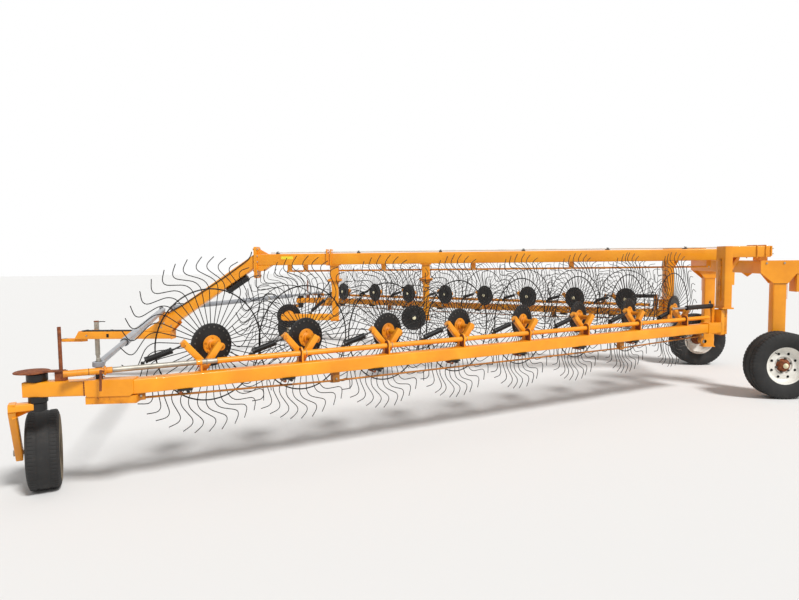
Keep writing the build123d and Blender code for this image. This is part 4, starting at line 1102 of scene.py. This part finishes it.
end, r = ram["barrel"], ram["r"]
hose = [atRam(0.05, 0, 0.03), atRam(0.07, 0, 0.055), atRam(0.22, 0.012, 0.05), atRam(0.3, 0.0, 0.036)]
barrel = of("grey", bar(atRam(0.025), atRam(end - 0.07), r * 0.97, 32),
    bar(atRam(end - 0.08), atRam(end - 0.001), r, 32),
    bar(ramBase - ez * 0.022, ramBase + ez * 0.022, 0.034, 28))
barrel += of("black", bar(atRam(end - 0.02), atRam(end), r * 0.86, 32),
    bar(atRam(0.05, 0, 0.03), atRam(0.05, 0, 0.046), 0.01, 12))
barrel += of("zinc", bar(*map(atRam, ram["band"]), r, 32))
barrel += of("hose", bent(hose, 0.007, 0.03, 10))
eyeRing = [(0.0242, -0.018), (0.037, -0.018), (0.04, -0.015), (0.04, 0.015), (0.037, 0.018), (0.0242, 0.018)]
rodParts = of("chrome", bar(ramEye - ramRun * 0.05, ramEye - ramRun * ram["inside"], ram["rod"], 28))
rodParts += of("grey", bar(ramEye - ramRun * 0.09, ramEye - ramRun * 0.028, 0.03, 28),
    upright(eyeRing, ramEye))
bothSides("RamBarrel", "ram_barrel", barrel)
bothSides("RamRod", "ram_rod", rodParts)

# parking jack: tube with two open rings and a crank handle, and the leg that slides in it
jack = dict(x=-8.28, y=0.15, r=0.032, bore=0.0255, leg=0.0248, low=0.32, top=0.8,
    rings=((0.55, 0.585), (0.66, 0.695)), cap=(0.798, 0.812), handleZ=0.79, inside=(0.01, 0.489))
line = (jack["x"], jack["y"], 0)
at = lambda z: (jack["x"], jack["y"], z)
r, low, top = jack["r"], jack["low"], jack["top"]
sleeve = [(jack["bore"], low), (r - 0.002, low), (r, low + 0.002), (r, top), (jack["bore"], top)]
handle = lambda x, y: (x, y, jack["handleZ"])
parts = of("zinc", upright(sleeve, line),
    *[upright([(r - 0.002, a), (r + 0.003, a), (r + 0.003, b), (r - 0.002, b)], line, 32)
    for a, b in jack["rings"]])
parts += of("rust", bar(*map(at, jack["cap"]), 0.035, 32))
parts += of("worn", block((-8.32, -8.24), (0.076, 0.1235), (0.57, 0.69)))
parts += of("black", bar(handle(-8.28, 0.18), handle(-8.28, 0.26), 0.007, 12),
    bar(handle(-8.28, 0.255), handle(-8.21, 0.255), 0.006, 12))
framePiece("jackTube", parts, 0.001)
foot = [(0.001, 0.0), (0.074, 0.0), (0.08, 0.004), (0.079, 0.008), (0.045, 0.01), (0.001, 0.011)]
parts = of("zinc", bar(*map(at, jack["inside"]), jack["leg"], 28)) + of("rust", upright(foot, line, 40))
makePiece("jackLeg", "jack_leg", shifted(parts))
print("all pieces made")

# camera, floor and light
view = dict(place=(-3.5525, -8.1809, 1.6567), yaw=2.8486, pitch=4.0082, roll=0.6748, focalPx=605.26,
    photoWide=799, sensor=36)
yaw, pitch, roll = (math.radians(view[k]) for k in ("yaw", "pitch", "roll"))
ahead = Vector((-math.sin(yaw) * math.cos(pitch), math.cos(yaw) * math.cos(pitch), -math.sin(pitch)))
level = Vector((math.cos(yaw), math.sin(yaw), 0))
above = level.cross(ahead)
right = level * math.cos(roll) - above * math.sin(roll)
upward = level * math.sin(roll) + above * math.cos(roll)
camera = bpy.data.objects.new("camera", bpy.data.cameras.new("camera"))
camera.data.sensor_width = view["sensor"]
camera.data.lens = view["focalPx"] / view["photoWide"] * view["sensor"]
camera.data.clip_end = 200
camera.matrix_world = Matrix((right, upward, -ahead)).transposed().to_4x4()
camera.location = machine(*view["place"])
bpy.context.scene.collection.objects.link(camera)
bpy.context.scene.camera = camera

floorSize = 60.0
floor = bpy.data.meshes.new("floor")
corners = [(x * floorSize, y * floorSize, 0) for x, y in ((-1, -1), (1, -1), (1, 1), (-1, 1))]
floor.from_pydata(corners, [], [(0, 1, 2, 3)])
floorFinish, tree, shader, place = finish("paleFloor", 0.9)
shader.inputs["Base Color"].default_value = linear("#EAE9E7")
floor.materials.append(floorFinish)
floorPiece = bpy.data.objects.new("floor", floor)
bpy.context.scene.collection.objects.link(floorPiece)

# a white background for the camera and in reflections, dimmer as a light
world = bpy.data.worlds.new("studio")
bpy.context.scene.world = world
world.use_nodes = True
worldTree = world.node_tree
back = worldTree.nodes["Background"]
back.inputs["Color"].default_value = linear("#FFFFFF")
rays = addNode(worldTree, "ShaderNodeLightPath").outputs
seen = rays["Is Camera Ray"]
for kind in ("Is Glossy Ray", "Is Transmission Ray"):
    seen = addNode(worldTree, "ShaderNodeMath", {"operation": "MAXIMUM"}, {0: seen, 1: rays[kind]}).outputs[0]
strength = addNode(worldTree, "ShaderNodeMapRange", {"To Min": 0.36, "To Max": 1.0}, {"Value": seen})
worldTree.links.new(strength.outputs["Result"], back.inputs["Strength"])

lamps = {"key": ((9.0, -9.0, 14.0), 3.0, 12.0), "fill": ((-12.0, -10.0, 8.0), 0.12, 60.0)}
for name, (place, energy, spread) in lamps.items():
    lamp = bpy.data.lights.new(name, "SUN")
    lamp.energy = energy
    lamp.angle = math.radians(spread)
    holder = bpy.data.objects.new(name, lamp)
    holder.rotation_euler = (-Vector(place)).to_track_quat("-Z", "Y").to_euler()
    bpy.context.scene.collection.objects.link(holder)
bpy.context.scene.view_settings.view_transform = "Standard"
print("studio made")
